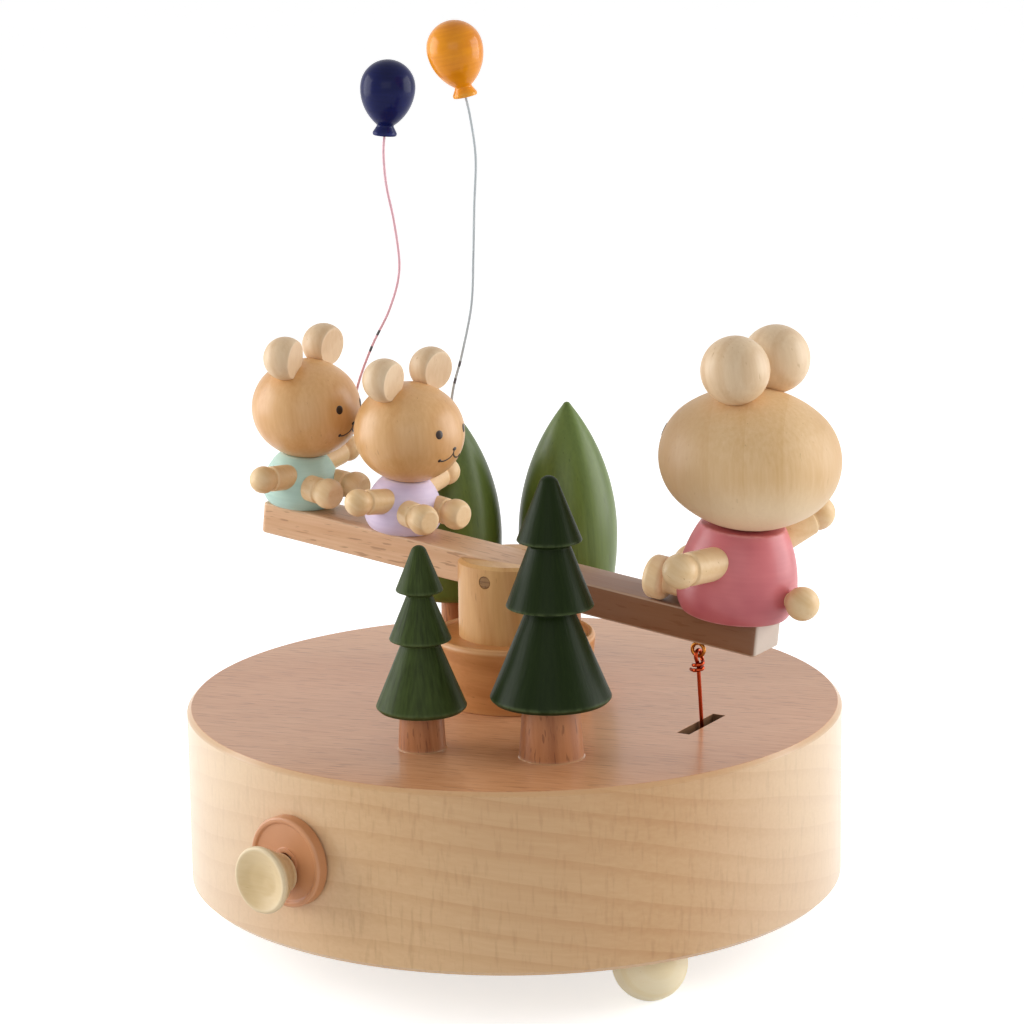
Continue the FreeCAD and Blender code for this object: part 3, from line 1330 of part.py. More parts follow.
# The drum's hollow is a closed ring between its wall and its axle.
hollow = feature(drum, "SubtractiveCylinder", "drum_hollow", shift(0, 0, size.drum_left + drum_wall),
                 Radius=drum_radius - drum_wall, Height=size.drum_right - size.drum_left - drum_wall * 2)
feature(drum, "AdditiveCylinder", "drum_axle", shift(0, 0, size.drum_left),
        Radius=axle, Height=size.drum_right - size.drum_left)
teeth(drum, "pinion_tooth", size.pinion_teeth, size.pinion_root - 0.3, size.pinion_tip, size.tooth_wide,
      size.tooth_tip, size.pinion_left, size.pinion_thick, 0.0)
teeth(drum, "end_tooth", size.end_gear_teeth, size.end_gear_root - 0.3, size.end_gear_tip,
      size.fine_tooth_wide, size.fine_tooth_tip, size.end_gear_left, size.end_gear_thick, 0.5)
# Tune pins stand on the drum, one track to a tooth, and step round it by the same turn each time.
tracks = int(size.comb_teeth.number)
pinned = [drum]
for number in range(int(size.tune_pins.number)):
    track = size.comb_left + size.comb_pitch * (number % tracks + 0.5) - size.comb_slot / 2
    pin_box = document.addObject("Part::Box", "tune_pin%d" % number)
    bind(pin_box, Length=size.tune_pin_high + 0.2, Width=size.tune_pin_wide, Height=size.tune_pin_wide)
    pin_box.Placement = (cylinder_frame.multiply(turned_by(number * size.tune_turn.number))
                         .multiply(shift(drum_radius - 0.2, -size.tune_pin_wide / 2,
                                         track - size.tune_pin_wide / 2)))
    pinned.append(pin_box)
cylinder = document.addObject("Part::MultiFuse", "pinned_cylinder")
cylinder.Label = "pinned_cylinder"
cylinder.Shapes = pinned

# Comb: a steel plate, slotted so that its teeth grow shorter from one side to the other.
plate = document.addObject("Part::Box", "comb_plate")
tooth_wide = size.comb_pitch - size.comb_slot
bind(plate, Length=comb_long - size.comb_slot, Width=size.comb_back - size.comb_tip, Height=size.comb_thick)
plate.Placement = shift(size.comb_left, size.comb_tip, comb_low)
cuts = []
for number in range(tracks - 1):
    share = number / (tracks - 2.0)
    deep = size.comb_low_tooth - (size.comb_low_tooth - size.comb_high_tooth) * share
    cut = document.addObject("Part::Box", "comb_cut%d" % number)
    bind(cut, Length=size.comb_slot, Width=deep + 1, Height=size.comb_thick + 2)
    cut.Placement = shift(size.comb_left + tooth_wide + size.comb_pitch * number, size.comb_tip - 1, comb_low - 1)
    cuts.append(cut)
for number, (x, y) in enumerate(comb_screw_spots):
    cut = document.addObject("Part::Cylinder", "comb_hole%d" % number)
    bind(cut, Radius=size.comb_screw_wide / 2 + size.glue_fit, Height=size.comb_thick + 2)
    cut.Placement = shift(x, y, comb_low - 1)
    cuts.append(cut)
tools = document.addObject("Part::MultiFuse", "comb_cuts")
tools.Shapes = cuts
comb = document.addObject("Part::Cut", "steel_comb")
comb.Label = "steel_comb"
comb.Base = plate
comb.Tool = tools
comb.Placement = movement_frame

# Comb screws: three cheese heads on straight shanks.
screws = new_body("comb_screws", movement_frame, True)
for number, (x, y) in enumerate(comb_screw_spots):
    feature(screws, "AdditiveCylinder", "comb_screw_shank%d" % number,
            shift(x, y, comb_low - size.comb_screw_long + 0.5 + size.comb_thick),
            Radius=size.comb_screw_wide / 2, Height=size.comb_screw_long - 0.5)
    feature(screws, "AdditiveCylinder", "comb_screw_head%d" % number,
            shift(x, y, comb_low + size.comb_thick),
            Radius=size.comb_screw_head / 2, Height=size.comb_screw_head_high)

# Governor wheel: an axle with a pinion that the end gear drives and a wheel that drives the worm.
wheel_frame = movement_frame.multiply(aim(at(0, size.governor_side, arbor_high), ALONG_X))
governor_axle = size.governor_axle / 2
axle_left = size.bracket_left
axle_right = size.bracket_right + size.bracket_thick
worm_wheel_right = size.worm_wheel_left + size.end_gear_thick
wheel = turned("governor_wheel", [
    (0, axle_left),
    (governor_axle, axle_left),
    (governor_axle, size.end_gear_left),
    (size.small_pinion_root, size.end_gear_left),
    (size.small_pinion_root, size.worm_wheel_left),
    (size.worm_wheel_root, size.worm_wheel_left),
    (size.worm_wheel_root, worm_wheel_right),
    (governor_axle, worm_wheel_right),
    (governor_axle, axle_right),
    (0, axle_right),
], wheel_frame)
teeth(wheel, "small_tooth", size.small_pinion_teeth, size.small_pinion_root - 0.3, size.small_pinion_tip,
      size.fine_tooth_wide, size.fine_tooth_tip, size.end_gear_left, size.end_gear_thick, 0.0)
teeth(wheel, "worm_tooth", size.worm_wheel_teeth, size.worm_wheel_root - 0.3, size.worm_wheel_tip,
      size.fine_tooth_wide, size.fine_tooth_tip, size.worm_wheel_left, size.end_gear_thick, 0.0)

# Governor fan: an upright spindle with a worm and two blades.
worm_outer = size.worm_core + size.worm_thread
spindle_y = size.governor_side - size.worm_wheel_tip - worm_outer - size.worm_gap
spindle_x = (size.worm_wheel_left + worm_wheel_right) / 2
fan_frame = movement_frame.multiply(shift(spindle_x, spindle_y, 0))
spindle = size.spindle_wide / 2
spindle_low = bed_top + 0.2
worm_low = arbor_high - size.worm_long / 2
worm_high = arbor_high + size.worm_long / 2
fan_top = size.fan_low + size.fan_high
fan = turned("governor_fan", [
    (0, spindle_low),
    (spindle, spindle_low),
    (spindle, worm_low),
    (size.worm_core, worm_low),
    (size.worm_core, worm_high),
    (spindle, worm_high),
    (spindle, size.fan_low),
    (spindle + 0.5, size.fan_low),
    (spindle + 0.5, fan_top),
    (0, fan_top),
], fan_frame)
box(fan, "AdditiveBox", "fan_blades", (-size.fan_reach, -size.fan_thick / 2, size.fan_low),
    (size.fan_reach, size.fan_thick / 2, fan_top))
# Four steep threads side by side, as on a worm that is driven by its wheel.
thread = fan.newObject("PartDesign::AdditiveHelix", "worm_helix")
thread.Profile = outline(fan, "worm_helix_outline", [
    (size.worm_core - 0.1, worm_low + 0.3),
    (worm_outer, worm_low + 0.5),
    (worm_outer, worm_low + 0.7),
    (size.worm_core - 0.1, worm_low + 0.9),
])
thread.ReferenceAxis = (thread.Profile[0], ["V_Axis"])
thread.Mode = "pitch-height-angle"
bind(thread, Pitch=size.worm_pitch * size.worm_starts, Height=size.worm_long - 1.2)
around(fan, "worm_ring", [thread], size.worm_starts)

# Governor bracket: a foot with two walls for the wheel's axle and an arm over the spindle.
bracket = new_body("governor_frame", movement_frame)
foot_top = bed_top + size.bracket_base
right_face = size.bracket_right + size.bracket_thick
padded(bracket, "bracket_foot", [
    (size.bracket_left, size.bracket_front),
    (right_face, size.bracket_front),
    (right_face, size.bracket_back),
    (size.bracket_left, size.bracket_back),
], size.bracket_base, bed_top)
arm_low = size.bracket_arm_high
box(bracket, "AdditiveBox", "bracket_right_wall",
    (size.bracket_right, size.bracket_front, foot_top - 0.5),
    (right_face, size.bracket_back, arm_low + size.bracket_base))
box(bracket, "AdditiveBox", "bracket_left_wall",
    (size.bracket_left, size.bracket_back - 4.2, foot_top - 0.5),
    (size.bracket_left + size.bracket_thick, size.bracket_back, arbor_high + 2.2))
box(bracket, "AdditiveBox", "bracket_arm",
    (spindle_x - 1.6, size.bracket_front, arm_low),
    (right_face, spindle_y + 1.7, arm_low + size.bracket_base))
bore(bracket, "wheel_bore", at(size.bracket_left - 1, size.governor_side, arbor_high), ALONG_X,
     governor_axle + size.running_fit, right_face - size.bracket_left + 2)
bore(bracket, "spindle_bore", at(spindle_x, spindle_y, bed_top - 0.5), UP,
     spindle + size.running_fit, arm_low - bed_top + 4)

# Crank: a disc on the end of the cylinder's axle, with a pin that the pull wire's loop goes round.
crank_frame = movement_frame.multiply(aim(at(0, side, arbor_high), ALONG_X))
crank = turned("crank", [
    (axle + size.glue_fit, size.crank_left),
    (size.crank_wide / 2, size.crank_left),
    (size.crank_wide / 2, crank_right),
    (axle + size.glue_fit, crank_right),
], crank_frame)
# At rest the pin is straight below the axle.
below = crank.Placement.inverse().Rotation.multVec(Vector(0, 0, -size.crank_throw.number))
feature(crank, "AdditiveCylinder", "crank_pin", Placement(below + at(0, 0, crank_right - 0.5), Rotation()),
        Radius=size.crank_pin_wide / 2, Height=size.crank_pin_long + 0.5)

document.recompute()
pieces = []
for item in document.Objects:
    problems = [state for state in item.State if state in ("Invalid", "Error")]
    if problems:
        raise RuntimeError("%s is %s" % (item.Label, problems))
    whole = item.TypeId in ("PartDesign::Body", "Part::Feature") and item is not drum
    if whole or item in (comb, cylinder):
        pieces.append(item)
for item in pieces:
    if item.Shape.isNull() or not item.Shape.isValid() or not item.Shape.Solids:
        raise RuntimeError("%s has no valid solid" % item.Label)
os.makedirs("parts", exist_ok=True)
for item in pieces:
    item.Shape.exportStep(os.path.join("parts", item.Label + ".step"))
print("%d pieces written" % len(pieces))
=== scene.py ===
# %% [markdown]
# # A wooden music box with a rocking seesaw
# A round beech box hides a wind-up movement. On its top three turned bears ride a seesaw between four
# small trees, and two of them hold balloons on wires. The CAD model fixes where each piece is and how it
# moves. This lesson gives the pieces smooth surfaces and real finishes around that frame.

# %% Load the frame
import json
import math

import bpy
import numpy as np
from mathutils import Matrix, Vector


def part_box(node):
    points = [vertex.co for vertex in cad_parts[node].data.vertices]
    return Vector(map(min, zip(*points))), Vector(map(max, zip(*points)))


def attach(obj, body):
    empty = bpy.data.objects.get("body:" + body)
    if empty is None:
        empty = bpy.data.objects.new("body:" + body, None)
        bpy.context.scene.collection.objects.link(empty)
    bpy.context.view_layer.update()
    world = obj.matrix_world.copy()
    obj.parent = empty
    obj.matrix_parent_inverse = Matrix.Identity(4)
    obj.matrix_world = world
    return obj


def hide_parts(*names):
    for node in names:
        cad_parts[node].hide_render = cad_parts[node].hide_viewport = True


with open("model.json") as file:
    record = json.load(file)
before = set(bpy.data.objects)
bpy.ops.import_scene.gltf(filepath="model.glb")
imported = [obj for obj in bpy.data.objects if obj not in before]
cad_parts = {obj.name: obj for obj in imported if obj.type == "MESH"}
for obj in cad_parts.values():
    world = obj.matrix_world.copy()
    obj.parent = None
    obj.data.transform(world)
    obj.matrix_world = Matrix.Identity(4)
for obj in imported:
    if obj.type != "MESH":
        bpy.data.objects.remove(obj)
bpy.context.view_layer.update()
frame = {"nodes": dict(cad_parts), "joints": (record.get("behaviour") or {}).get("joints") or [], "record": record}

nodes = frame["nodes"]
MM = 0.001

# %% [markdown]
# ## Places
# The whole lesson works in millimetres, and only the finished mesh is scaled to metres. A place is a 4 by 4
# matrix, so a bear can be drawn upright at its own middle and then be set on the tilted beam with one
# product. The alternative, moving the objects, would leave their patterns behind when they are exported.

# %% Matrices for places
def shift(x, y, z):
    """A place that is only moved."""
    place = np.eye(4)
    place[:3, 3] = (x, y, z)
    return place


def spin(axis, degrees):
    """A place turned about an axis: cos a times the identity, sin a times the axis's cross matrix, and
    one minus cos a times the axis's outer product."""
    x, y, z = np.array(axis, float) / np.linalg.norm(axis)
    angle = math.radians(degrees)
    cross = np.array([[0, -z, y], [z, 0, -x], [-y, x, 0]])
    place = np.eye(4)
    place[:3, :3] = (math.cos(angle) * np.eye(3) + math.sin(angle) * cross
                     + (1 - math.cos(angle)) * np.outer((x, y, z), (x, y, z)))
    return place


def aim(start, way):
    """A place at start whose own z points along way."""
    z = np.array(way, float) / np.linalg.norm(way)
    helper = np.array((1.0, 0, 0)) if abs(z[0]) < 0.9 else np.array((0, 1.0, 0))
    y = np.cross(z, helper)
    y /= np.linalg.norm(y)
    place = np.eye(4)
    place[:3, :3] = np.stack((np.cross(y, z), y, z), axis=1)
    place[:3, 3] = start
    return place


def sent(place, points):
    """Points taken through a place."""
    return np.asarray(points, float) @ place[:3, :3].T + place[:3, 3]


# %% [markdown]
# ## Profiles
# Nearly every piece here was made on a lathe. A lathe piece is its half outline, so the lesson needs one
# way to draw such an outline: a few corners, straight runs and round runs between them. Real wood has no
# sharp edge, because it is sanded, so each corner is eased by a small curve. The outline also remembers
# how near each point is to a raised edge, because paint wears through there first.

# %% Draw an eased half outline
SAMPLE = 0.6          # step along an outline, mm
WEAR_WIDTH = 0.35     # how far an edge's wear reaches, mm
CORNER_TURN = 15.0    # a smaller bend than this is no corner, degrees


def run_between(start, end):
    """Points from one corner to the next. With a third number the run is an arc of that radius: its
    centre lies on the left of the chord, at the chord's middle plus the root of r squared minus half the
    chord squared."""
    a, b = np.array(start[:2], float), np.array(end[:2], float)
    chord = b - a
    length = np.linalg.norm(chord)
    if len(start) < 3:
        count = max(2, min(60, math.ceil(length / SAMPLE) + 1))
        return a + np.linspace(0, 1, count)[:, None] * chord
    radius = start[2]
    left = np.array((-chord[1], chord[0])) / length
    centre = (a + b) / 2 + left * math.sqrt(max(radius ** 2 - length ** 2 / 4, 0))
    first = math.atan2(*(a - centre)[::-1])
    turn = (math.atan2(*(b - centre)[::-1]) - first) % (2 * math.pi)
    count = max(8, min(64, math.ceil(turn * radius / SAMPLE) + 1))
    angle = first + np.linspace(0, turn, count)
    return centre + radius * np.stack((np.cos(angle), np.sin(angle)), axis=1)


def drawn(corners, ease=0.3):
    """An outline as rows of radius, height and edge, from its corners (radius, height) or
    (radius, height, arc radius). Each corner gives way to the quadratic Bezier curve whose ends lie
    `ease` away along the runs. edge is exp of minus the squared distance to the nearest raised corner."""
    runs = [run_between(a, b) for a, b in zip(corners, corners[1:])]
    lengths = [np.linalg.norm(np.diff(run, axis=0), axis=1).sum() for run in runs]
    marks = []
    shape = []
    before = 0.0
    for index, run in enumerate(runs):
        along = np.r_[0, np.cumsum(np.linalg.norm(np.diff(run, axis=0), axis=1))]
        after = 0.0
        bend = None
        if index + 1 < len(runs):
            one = run[-1] - run[-2]
            two = runs[index + 1][1] - runs[index + 1][0]
            turn = math.degrees(math.atan2(one[0] * two[1] - one[1] * two[0], one @ two))
            if abs(turn) > CORNER_TURN:
                after = min(ease, 0.45 * lengths[index], 0.45 * lengths[index + 1])
                bend = turn
        inner = along[(along > before + 1e-6) & (along < along[-1] - after - 1e-6)]
        stations = np.r_[before, inner, along[-1] - after]
        spots = np.stack([np.interp(stations, along, run[:, k]) for k in (0, 1)], axis=1)
        shape.append(spots if not shape else spots[1:])
        if bend is not None:
            follower = runs[index + 1]
            reach = np.r_[0, np.cumsum(np.linalg.norm(np.diff(follower, axis=0), axis=1))]
            end = np.array([np.interp(after, reach, follower[:, k]) for k in (0, 1)])
            t = np.linspace(0, 1, 7)[1:, None]
            shape.append((1 - t) ** 2 * spots[-1] + 2 * t * (1 - t) * run[-1] + t ** 2 * end)
            if bend > 0:
                marks.append(run[-1])
        before = after
    outline = np.vstack(shape)
    if marks:
        gap = np.linalg.norm(outline[:, None] - np.array(marks)[None], axis=2).min(axis=1)
    else:
        gap = np.full(len(outline), np.inf)
    return np.column_stack((outline, np.exp(-(gap / WEAR_WIDTH) ** 2)))


# %% [markdown]
# ## Surfaces
# A surface here is a grid: rows along the outline and columns round the axis. The grid's faces, its UV map
# and its edge values are worked out as whole arrays. The UV map is in real metres, so a pattern of lathe
# marks or brush strokes keeps its true size on every piece.

# %% Grids, lathe pieces and tubes
def grid_surface(grid, along, edge, closed_rows=False, poles=True):
    """A surface from rows by columns of points. Columns close on themselves. Where poles is true the
    first and last rows are one point each; where closed_rows is true the last row meets the first."""
    rows, columns = grid.shape[:2]
    girth = np.linalg.norm(np.roll(grid, -1, axis=1) - grid, axis=2).sum(axis=1).max() * MM
    index = np.arange(rows * columns).reshape(rows, columns)
    points = grid.reshape(-1, 3)
    edges = np.repeat(edge, columns)
    if poles:
        index = np.clip(index - columns + 1, 0, (rows - 2) * columns + 1)
        points, edges = points[columns - 1:1 - columns], edges[columns - 1:1 - columns]
    i = np.arange(rows if closed_rows else rows - 1)[:, None]
    j = np.arange(columns)
    next_row = (i + 1) % rows
    next_column = (j + 1) % columns
    quads = np.stack((index[i, j], index[i, next_column],
                      index[next_row, next_column], index[next_row, j]), -1)
    u = np.linspace(0, girth, columns + 1)
    v = np.r_[along, along[-1] + (along[1] - along[0])]
    corners = [np.broadcast_arrays(u[j + right], v[i + up]) for right, up in ((0, 0), (1, 0), (1, 1), (0, 1))]
    uv = np.stack([np.stack(corner, -1) for corner in corners], axis=2)
    if not poles:
        return {"points": points, "edge": edges,
                "faces": [quads.reshape(-1, 4)], "uv": [uv.reshape(-1, 4, 2)]}
    first, last = [0, 2, 3], [0, 1, 3]  # the corners that are left of a face at a pole
    return {"points": points, "edge": edges,
            "faces": [quads[1:-1].reshape(-1, 4), quads[0][:, first], quads[-1][:, last]],
            "uv": [uv[1:-1].reshape(-1, 4, 2), uv[0][:, first], uv[-1][:, last]]}


def lathe(outline, place, columns=None, closed=False):
    """Spins an outline about its own z: x is radius times cos a and y is radius times sin a. Without
    columns there are 12 for each millimetre of the widest radius, from 48 up to 240. Where closed is true
    the outline is a ring that misses the axis."""
    columns = columns or int(np.clip(math.ceil(outline[:, 0].max() * 12), 48, 240))
    angle = np.linspace(0, 2 * math.pi, columns, endpoint=False)
    radius, height = outline[:, :1], outline[:, 1:2]
    grid = np.stack((radius * np.cos(angle), radius * np.sin(angle), height + 0 * angle), axis=-1)
    along = np.r_[0, np.cumsum(np.linalg.norm(np.diff(outline[:, :2], axis=0), axis=1))] * MM
    if closed:
        return grid_surface(sent(place, grid[:-1]), along[:-1], outline[:-1, 2],
                            closed_rows=True, poles=False)
    return grid_surface(sent(place, grid), along, outline[:, 2])


def smooth_path(spots, step=0.4):
    """A Catmull-Rom curve through the spots, sampled evenly: each span is a cubic whose slope at a spot is
    half the way from the spot before to the spot after."""
    spots = np.asarray(spots, float)
    padded = np.vstack((2 * spots[0] - spots[1], spots, 2 * spots[-1] - spots[-2]))
    t = np.linspace(0, 1, 24, endpoint=False)[None, :, None]
    a, b, c, d = (padded[n:n + len(spots) - 1][:, None] for n in range(4))
    curve = 0.5 * (2 * b + (c - a) * t + (2 * a - 5 * b + 4 * c - d) * t ** 2
                   + (3 * b - a - 3 * c + d) * t ** 3)
    curve = np.vstack((curve.reshape(-1, 3), spots[-1:]))
    along = np.r_[0, np.cumsum(np.linalg.norm(np.diff(curve, axis=0), axis=1))]
    stations = np.linspace(0, along[-1], max(8, int(along[-1] / step)))
    return np.stack([np.interp(stations, along, curve[:, k]) for k in range(3)], axis=1)


def tube(path, radius, columns=20):
    """A round wire along a path with rounded ends. The ring at a station lies across the path's slope; its
    frame is carried along so that it never twists: the old side less its part along the new slope."""
    slope = np.gradient(path, axis=0)
    slope /= np.linalg.norm(slope, axis=1, keepdims=True)
    cap = np.radians(np.linspace(90, 15, 5))
    start = path[0] - slope[0] * radius * np.sin(cap)[:, None]
    end = path[-1] + slope[-1] * radius * np.sin(cap[::-1])[:, None]
    centres = np.vstack((start, path, end))
    slopes = np.vstack((np.repeat(slope[:1], 5, 0), slope, np.repeat(slope[-1:], 5, 0)))
    radii = np.r_[radius * np.cos(cap), np.full(len(path), radius), radius * np.cos(cap[::-1])]
    side = np.cross(slopes[0], (0.3, 0.5, 0.8))
    sides = []
    for way in slopes:
        side = side - way * (side @ way)
        side = side / np.linalg.norm(side)
        sides.append(side)
    sides = np.array(sides)
    others = np.cross(slopes, sides)
    angle = np.linspace(0, 2 * math.pi, columns, endpoint=False)[None, :, None]
    grid = centres[:, None] + radii[:, None, None] * (sides[:, None] * np.cos(angle)
                                                      + others[:, None] * np.sin(angle))
    along = np.r_[0, np.cumsum(np.linalg.norm(np.diff(centres, axis=0), axis=1))] * MM
    return grid_surface(grid, along, np.zeros(len(grid)))


def slab(ring, normals, steps, place):
    """A flat piece with eased edges: the ring moved in along its normals and lifted, once for each step
    (inset, height), and closed at its middle above and below."""
    middle = ring.mean(axis=0)
    layers = [np.column_stack((ring - normals * inset, np.full(len(ring), high))) for inset, high in steps]
    first = np.broadcast_to((*middle, steps[0][1]), layers[0].shape)
    last = np.broadcast_to((*middle, steps[-1][1]), layers[0].shape)
    grid = np.stack([first] + layers + [last])
    insets = np.array([9.0] + [inset for inset, high in steps] + [9.0])
    edge = np.exp(-((insets - insets.min()) / WEAR_WIDTH) ** 2) * (insets > insets.min() + 1e-6)
    along = np.arange(len(grid)) * MM
    return grid_surface(sent(place, grid), along, edge)


# %% [markdown]
# ## From surface to piece
# A finished piece is one mesh at the origin. The record already says which body carries each CAD node and
# which finish it has, so a piece that stands for a node asks the record instead of repeating it.

# %% Put a piece in the scene
finishes = {}
count_of = {"pieces": 0, "triangles": 0}
slot_of = {part["node"]: part["material_slot"] for part in frame["record"]["subparts"]}
body_of = {node: body for body, members in frame["record"]["behaviour"]["bodies"].items() for node in members}
SHARP_ANGLE = 32


def mesh_piece(name, surfaces, finish):
    """Joins surfaces into one object. The faces of each surface count on from the points before it."""
    offsets = np.cumsum([0] + [len(s["points"]) for s in surfaces])
    points = np.vstack([s["points"] for s in surfaces]) * MM
    faces = [face for s, offset in zip(surfaces, offsets) for block in s["faces"]
             for face in (block + offset).tolist()]
    mesh = bpy.data.meshes.new(name)
    mesh.from_pydata(points.tolist(), [], faces)
    uv = np.vstack([block.reshape(-1, 2) for s in surfaces for block in s["uv"]])
    mesh.uv_layers.new(name="metres").data.foreach_set("uv", uv.ravel().astype(np.float32))
    edge = np.concatenate([s["edge"] for s in surfaces]).astype(np.float32)
    mesh.attributes.new("edge", "FLOAT", "POINT").data.foreach_set("value", edge)
    mesh.shade_smooth()
    mesh.set_sharp_from_angle(angle=math.radians(SHARP_ANGLE))
    mesh.materials.append(finishes[finish])
    piece = bpy.data.objects.new(name, mesh)
    bpy.context.scene.collection.objects.link(piece)
    count_of["pieces"] += 1
    count_of["triangles"] += sum(len(face) - 2 for face in faces)
    return piece


def stand_for(node, *surfaces):
    """A piece that stands for a CAD node and takes its body and finish from the record."""
    piece = mesh_piece(node + "_piece", surfaces, slot_of[node])
    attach(piece, body_of[node])
    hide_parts(node)
    return piece


def detail(name, finish, body, slot, *surfaces):
    """A piece that the CAD model leaves out, such as a painted eye."""
    piece = mesh_piece(name, surfaces, finish)
    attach(piece, body)
    return piece


def spot(node):
    """The middle of a CAD node's box and its lowest and highest corners, in millimetres."""
    low, high = (np.array(corner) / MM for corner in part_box(node))
    return (low + high) / 2, low, high


print("finishes asked for by the record:", len(set(slot_of.values())))

# %% [markdown]
# ## Colours and nodes
# Colours are written as the sRGB hex values that the eye sees and turned to linear light once, by the sRGB
# curve. One helper adds any node: its inputs take either a number or another node's output, so a material
# reads as a list of steps. The last step gives the shader its colour and its bumps.

# %% Helpers for materials
def linear(hex_colour):
    """An sRGB hex colour as linear light: c over 12.92 below 0.04045, else ((c + 0.055) / 1.055) ^ 2.4."""
    value = np.array([int(hex_colour[n:n + 2], 16) / 255 for n in (1, 3, 5)])
    light = np.where(value <= 0.04045, value / 12.92, ((value + 0.055) / 1.055) ** 2.4)
    return (*light.tolist(), 1.0)


def add(tree, kind, inputs=None, out=None, **settings):
    """Adds a node of this kind with its settings. Each input is fed by another node's output or set to a
    value. Gives the output named out, or else the first output in use."""
    node = tree.nodes.new("ShaderNode" + kind)
    for key, value in settings.items():
        setattr(node, key, value)
    for key, value in (inputs or {}).items():
        if isinstance(value, bpy.types.NodeSocket):
            tree.links.new(value, node.inputs[key])
        else:
            node.inputs[key].default_value = value
    return node.outputs[out] if out else next((plug for plug in node.outputs if plug.enabled), None)


def new_finish(name, **shader):
    """An empty material with one Principled shader, whose sockets take the shader values."""
    material = bpy.data.materials.new(name)
    material.use_nodes = True
    tree = material.node_tree
    body = tree.nodes["Principled BSDF"]
    for key, value in shader.items():
        body.inputs[key.replace("_", " ")].default_value = value
    finishes[name] = material
    return tree, body


def dress(tree, shader, colour, relief=None, strength=0.15, depth=0.05):
    """Gives the shader its colour and, where there is a relief, bumps of this strength and depth in mm."""
    tree.links.new(colour, shader.inputs["Base Color"])
    if relief is not None:
        bumps = add(tree, "Bump", {"Height": relief, "Strength": strength, "Distance": depth * MM})
        tree.links.new(bumps, shader.inputs["Normal"])


print("linear of mid grey:", [round(c, 3) for c in linear("#808080")[:3]])

# %% [markdown]
# ## Clear wood
# The box is beech and the bears are schima and pine, all close grained and under a thin water lacquer. Wood
# is a solid, and the same rings run through the top and the side of a block, so the pattern has to be three
# dimensional. An image of wood would stretch and show a seam. Here the coordinate is turned until z crosses
# the growth layers and x runs with the fibres. A wave gives the layers, stretched noise the fibres, and a
# second stretched noise, cut hard, the short dark rays that tell beech from other woods. Each number comes
# from a real size: layers 3 to 11 mm apart, fibres 0.15 mm across, rays 4 to 6 mm long and 0.5 mm wide. A
# fibre is too fine for the picture, so it is drawn four times as wide. A drift mixes in a second tone along a
# way. It gives the beam its pale end grain, and it paints shade and highlights on the beam and the big bear.

# %% A finish for clear wood
WAVE_TURN = 20.0      # a wave texture's phase for one unit of length at scale 1
FIBRE = 0.6           # a drawn fibre's width, mm
RAY = 0.5             # a drawn ray's width, mm
PATCH = 28.0          # width of the slow change of tone, mm
LACQUER_ROUGH = 0.3   # roughness of the thin lacquer
WOOD_SHINE = 0.2      # the shader's specular level under the lacquer


def wood_tone(tree, tilt, layer, wander, weights, profile="SIN", lift=0.0):
    """The coordinate along the log, whose middle is lifted by mm; a tone from 0 to 1 that adds layers, slow
    patches and fibres by their weights; and the fibres alone."""
    log = add(tree, "Mapping", {"Vector": add(tree, "TexCoord", out="Object"), "Location": (0, 0, lift * MM),
                                "Rotation": [math.radians(a) for a in tilt]}, vector_type="TEXTURE")
    drawn_out = add(tree, "Mapping", {"Vector": log, "Scale": (0.2, 0.5, 1)})
    patches = add(tree, "TexNoise", {"Vector": drawn_out, "Scale": 1 / (PATCH * MM), "Detail": 2.0})
    wave = add(tree, "TexWave", {"Vector": drawn_out, "Scale": 2 * math.pi / (WAVE_TURN * layer * MM),
                                 "Distortion": wander, "Detail": 2.0, "Detail Scale": 0.4,
                                 "Detail Roughness": 0.5},
               out="Fac", wave_type="BANDS", bands_direction="Z", wave_profile=profile)
    late = add(tree, "MapRange", {"Value": wave, "From Min": 0.5}, interpolation_type="SMOOTHSTEP")
    along = add(tree, "Mapping", {"Vector": log, "Scale": (0.04, 1, 1)})
    fibres = add(tree, "TexNoise", {"Vector": along, "Scale": 1 / (FIBRE * MM), "Detail": 3.0,
                                    "Roughness": 0.6})
    tone = 0.0
    for part, weight in zip((late, patches, fibres), weights):
        tone = add(tree, "Math", {0: part, 1: weight, 2: tone}, operation="MULTIPLY_ADD")
    layers, slow, fine = weights
    tone = add(tree, "MapRange", {"Value": tone, "From Min": 0.3 * (slow + fine),
                                  "From Max": layers + 0.68 * (slow + fine)})
    return log, tone, fibres


def wood_rays(tree, log, share, length=0.09):
    """Short dark rays: stretched noise above a cut that leaves about this share of the surface."""
    along = add(tree, "Mapping", {"Vector": log, "Scale": (length, 1, 1)})
    noise = add(tree, "TexNoise", {"Vector": along, "Scale": 1 / (RAY * MM), "Detail": 1.0})
    cut = 0.74 - 0.5 * share
    return add(tree, "MapRange", {"Value": noise, "From Min": cut, "From Max": cut + 0.06})


def drift(tree, colour, way, start, end, other, depth):
    """Another tone that sets in along a way, between two distances from the middle in mm."""
    along = add(tree, "VectorMath", {0: add(tree, "TexCoord", out="Object"), 1: way}, operation="DOT_PRODUCT")
    share = add(tree, "MapRange", {"Value": along, "From Min": start * MM, "From Max": end * MM,
                                   "To Max": depth}, interpolation_type="SMOOTHSTEP")
    return add(tree, "Mix", {"Factor": share, "A": colour, "B": linear(other)}, data_type="RGBA")


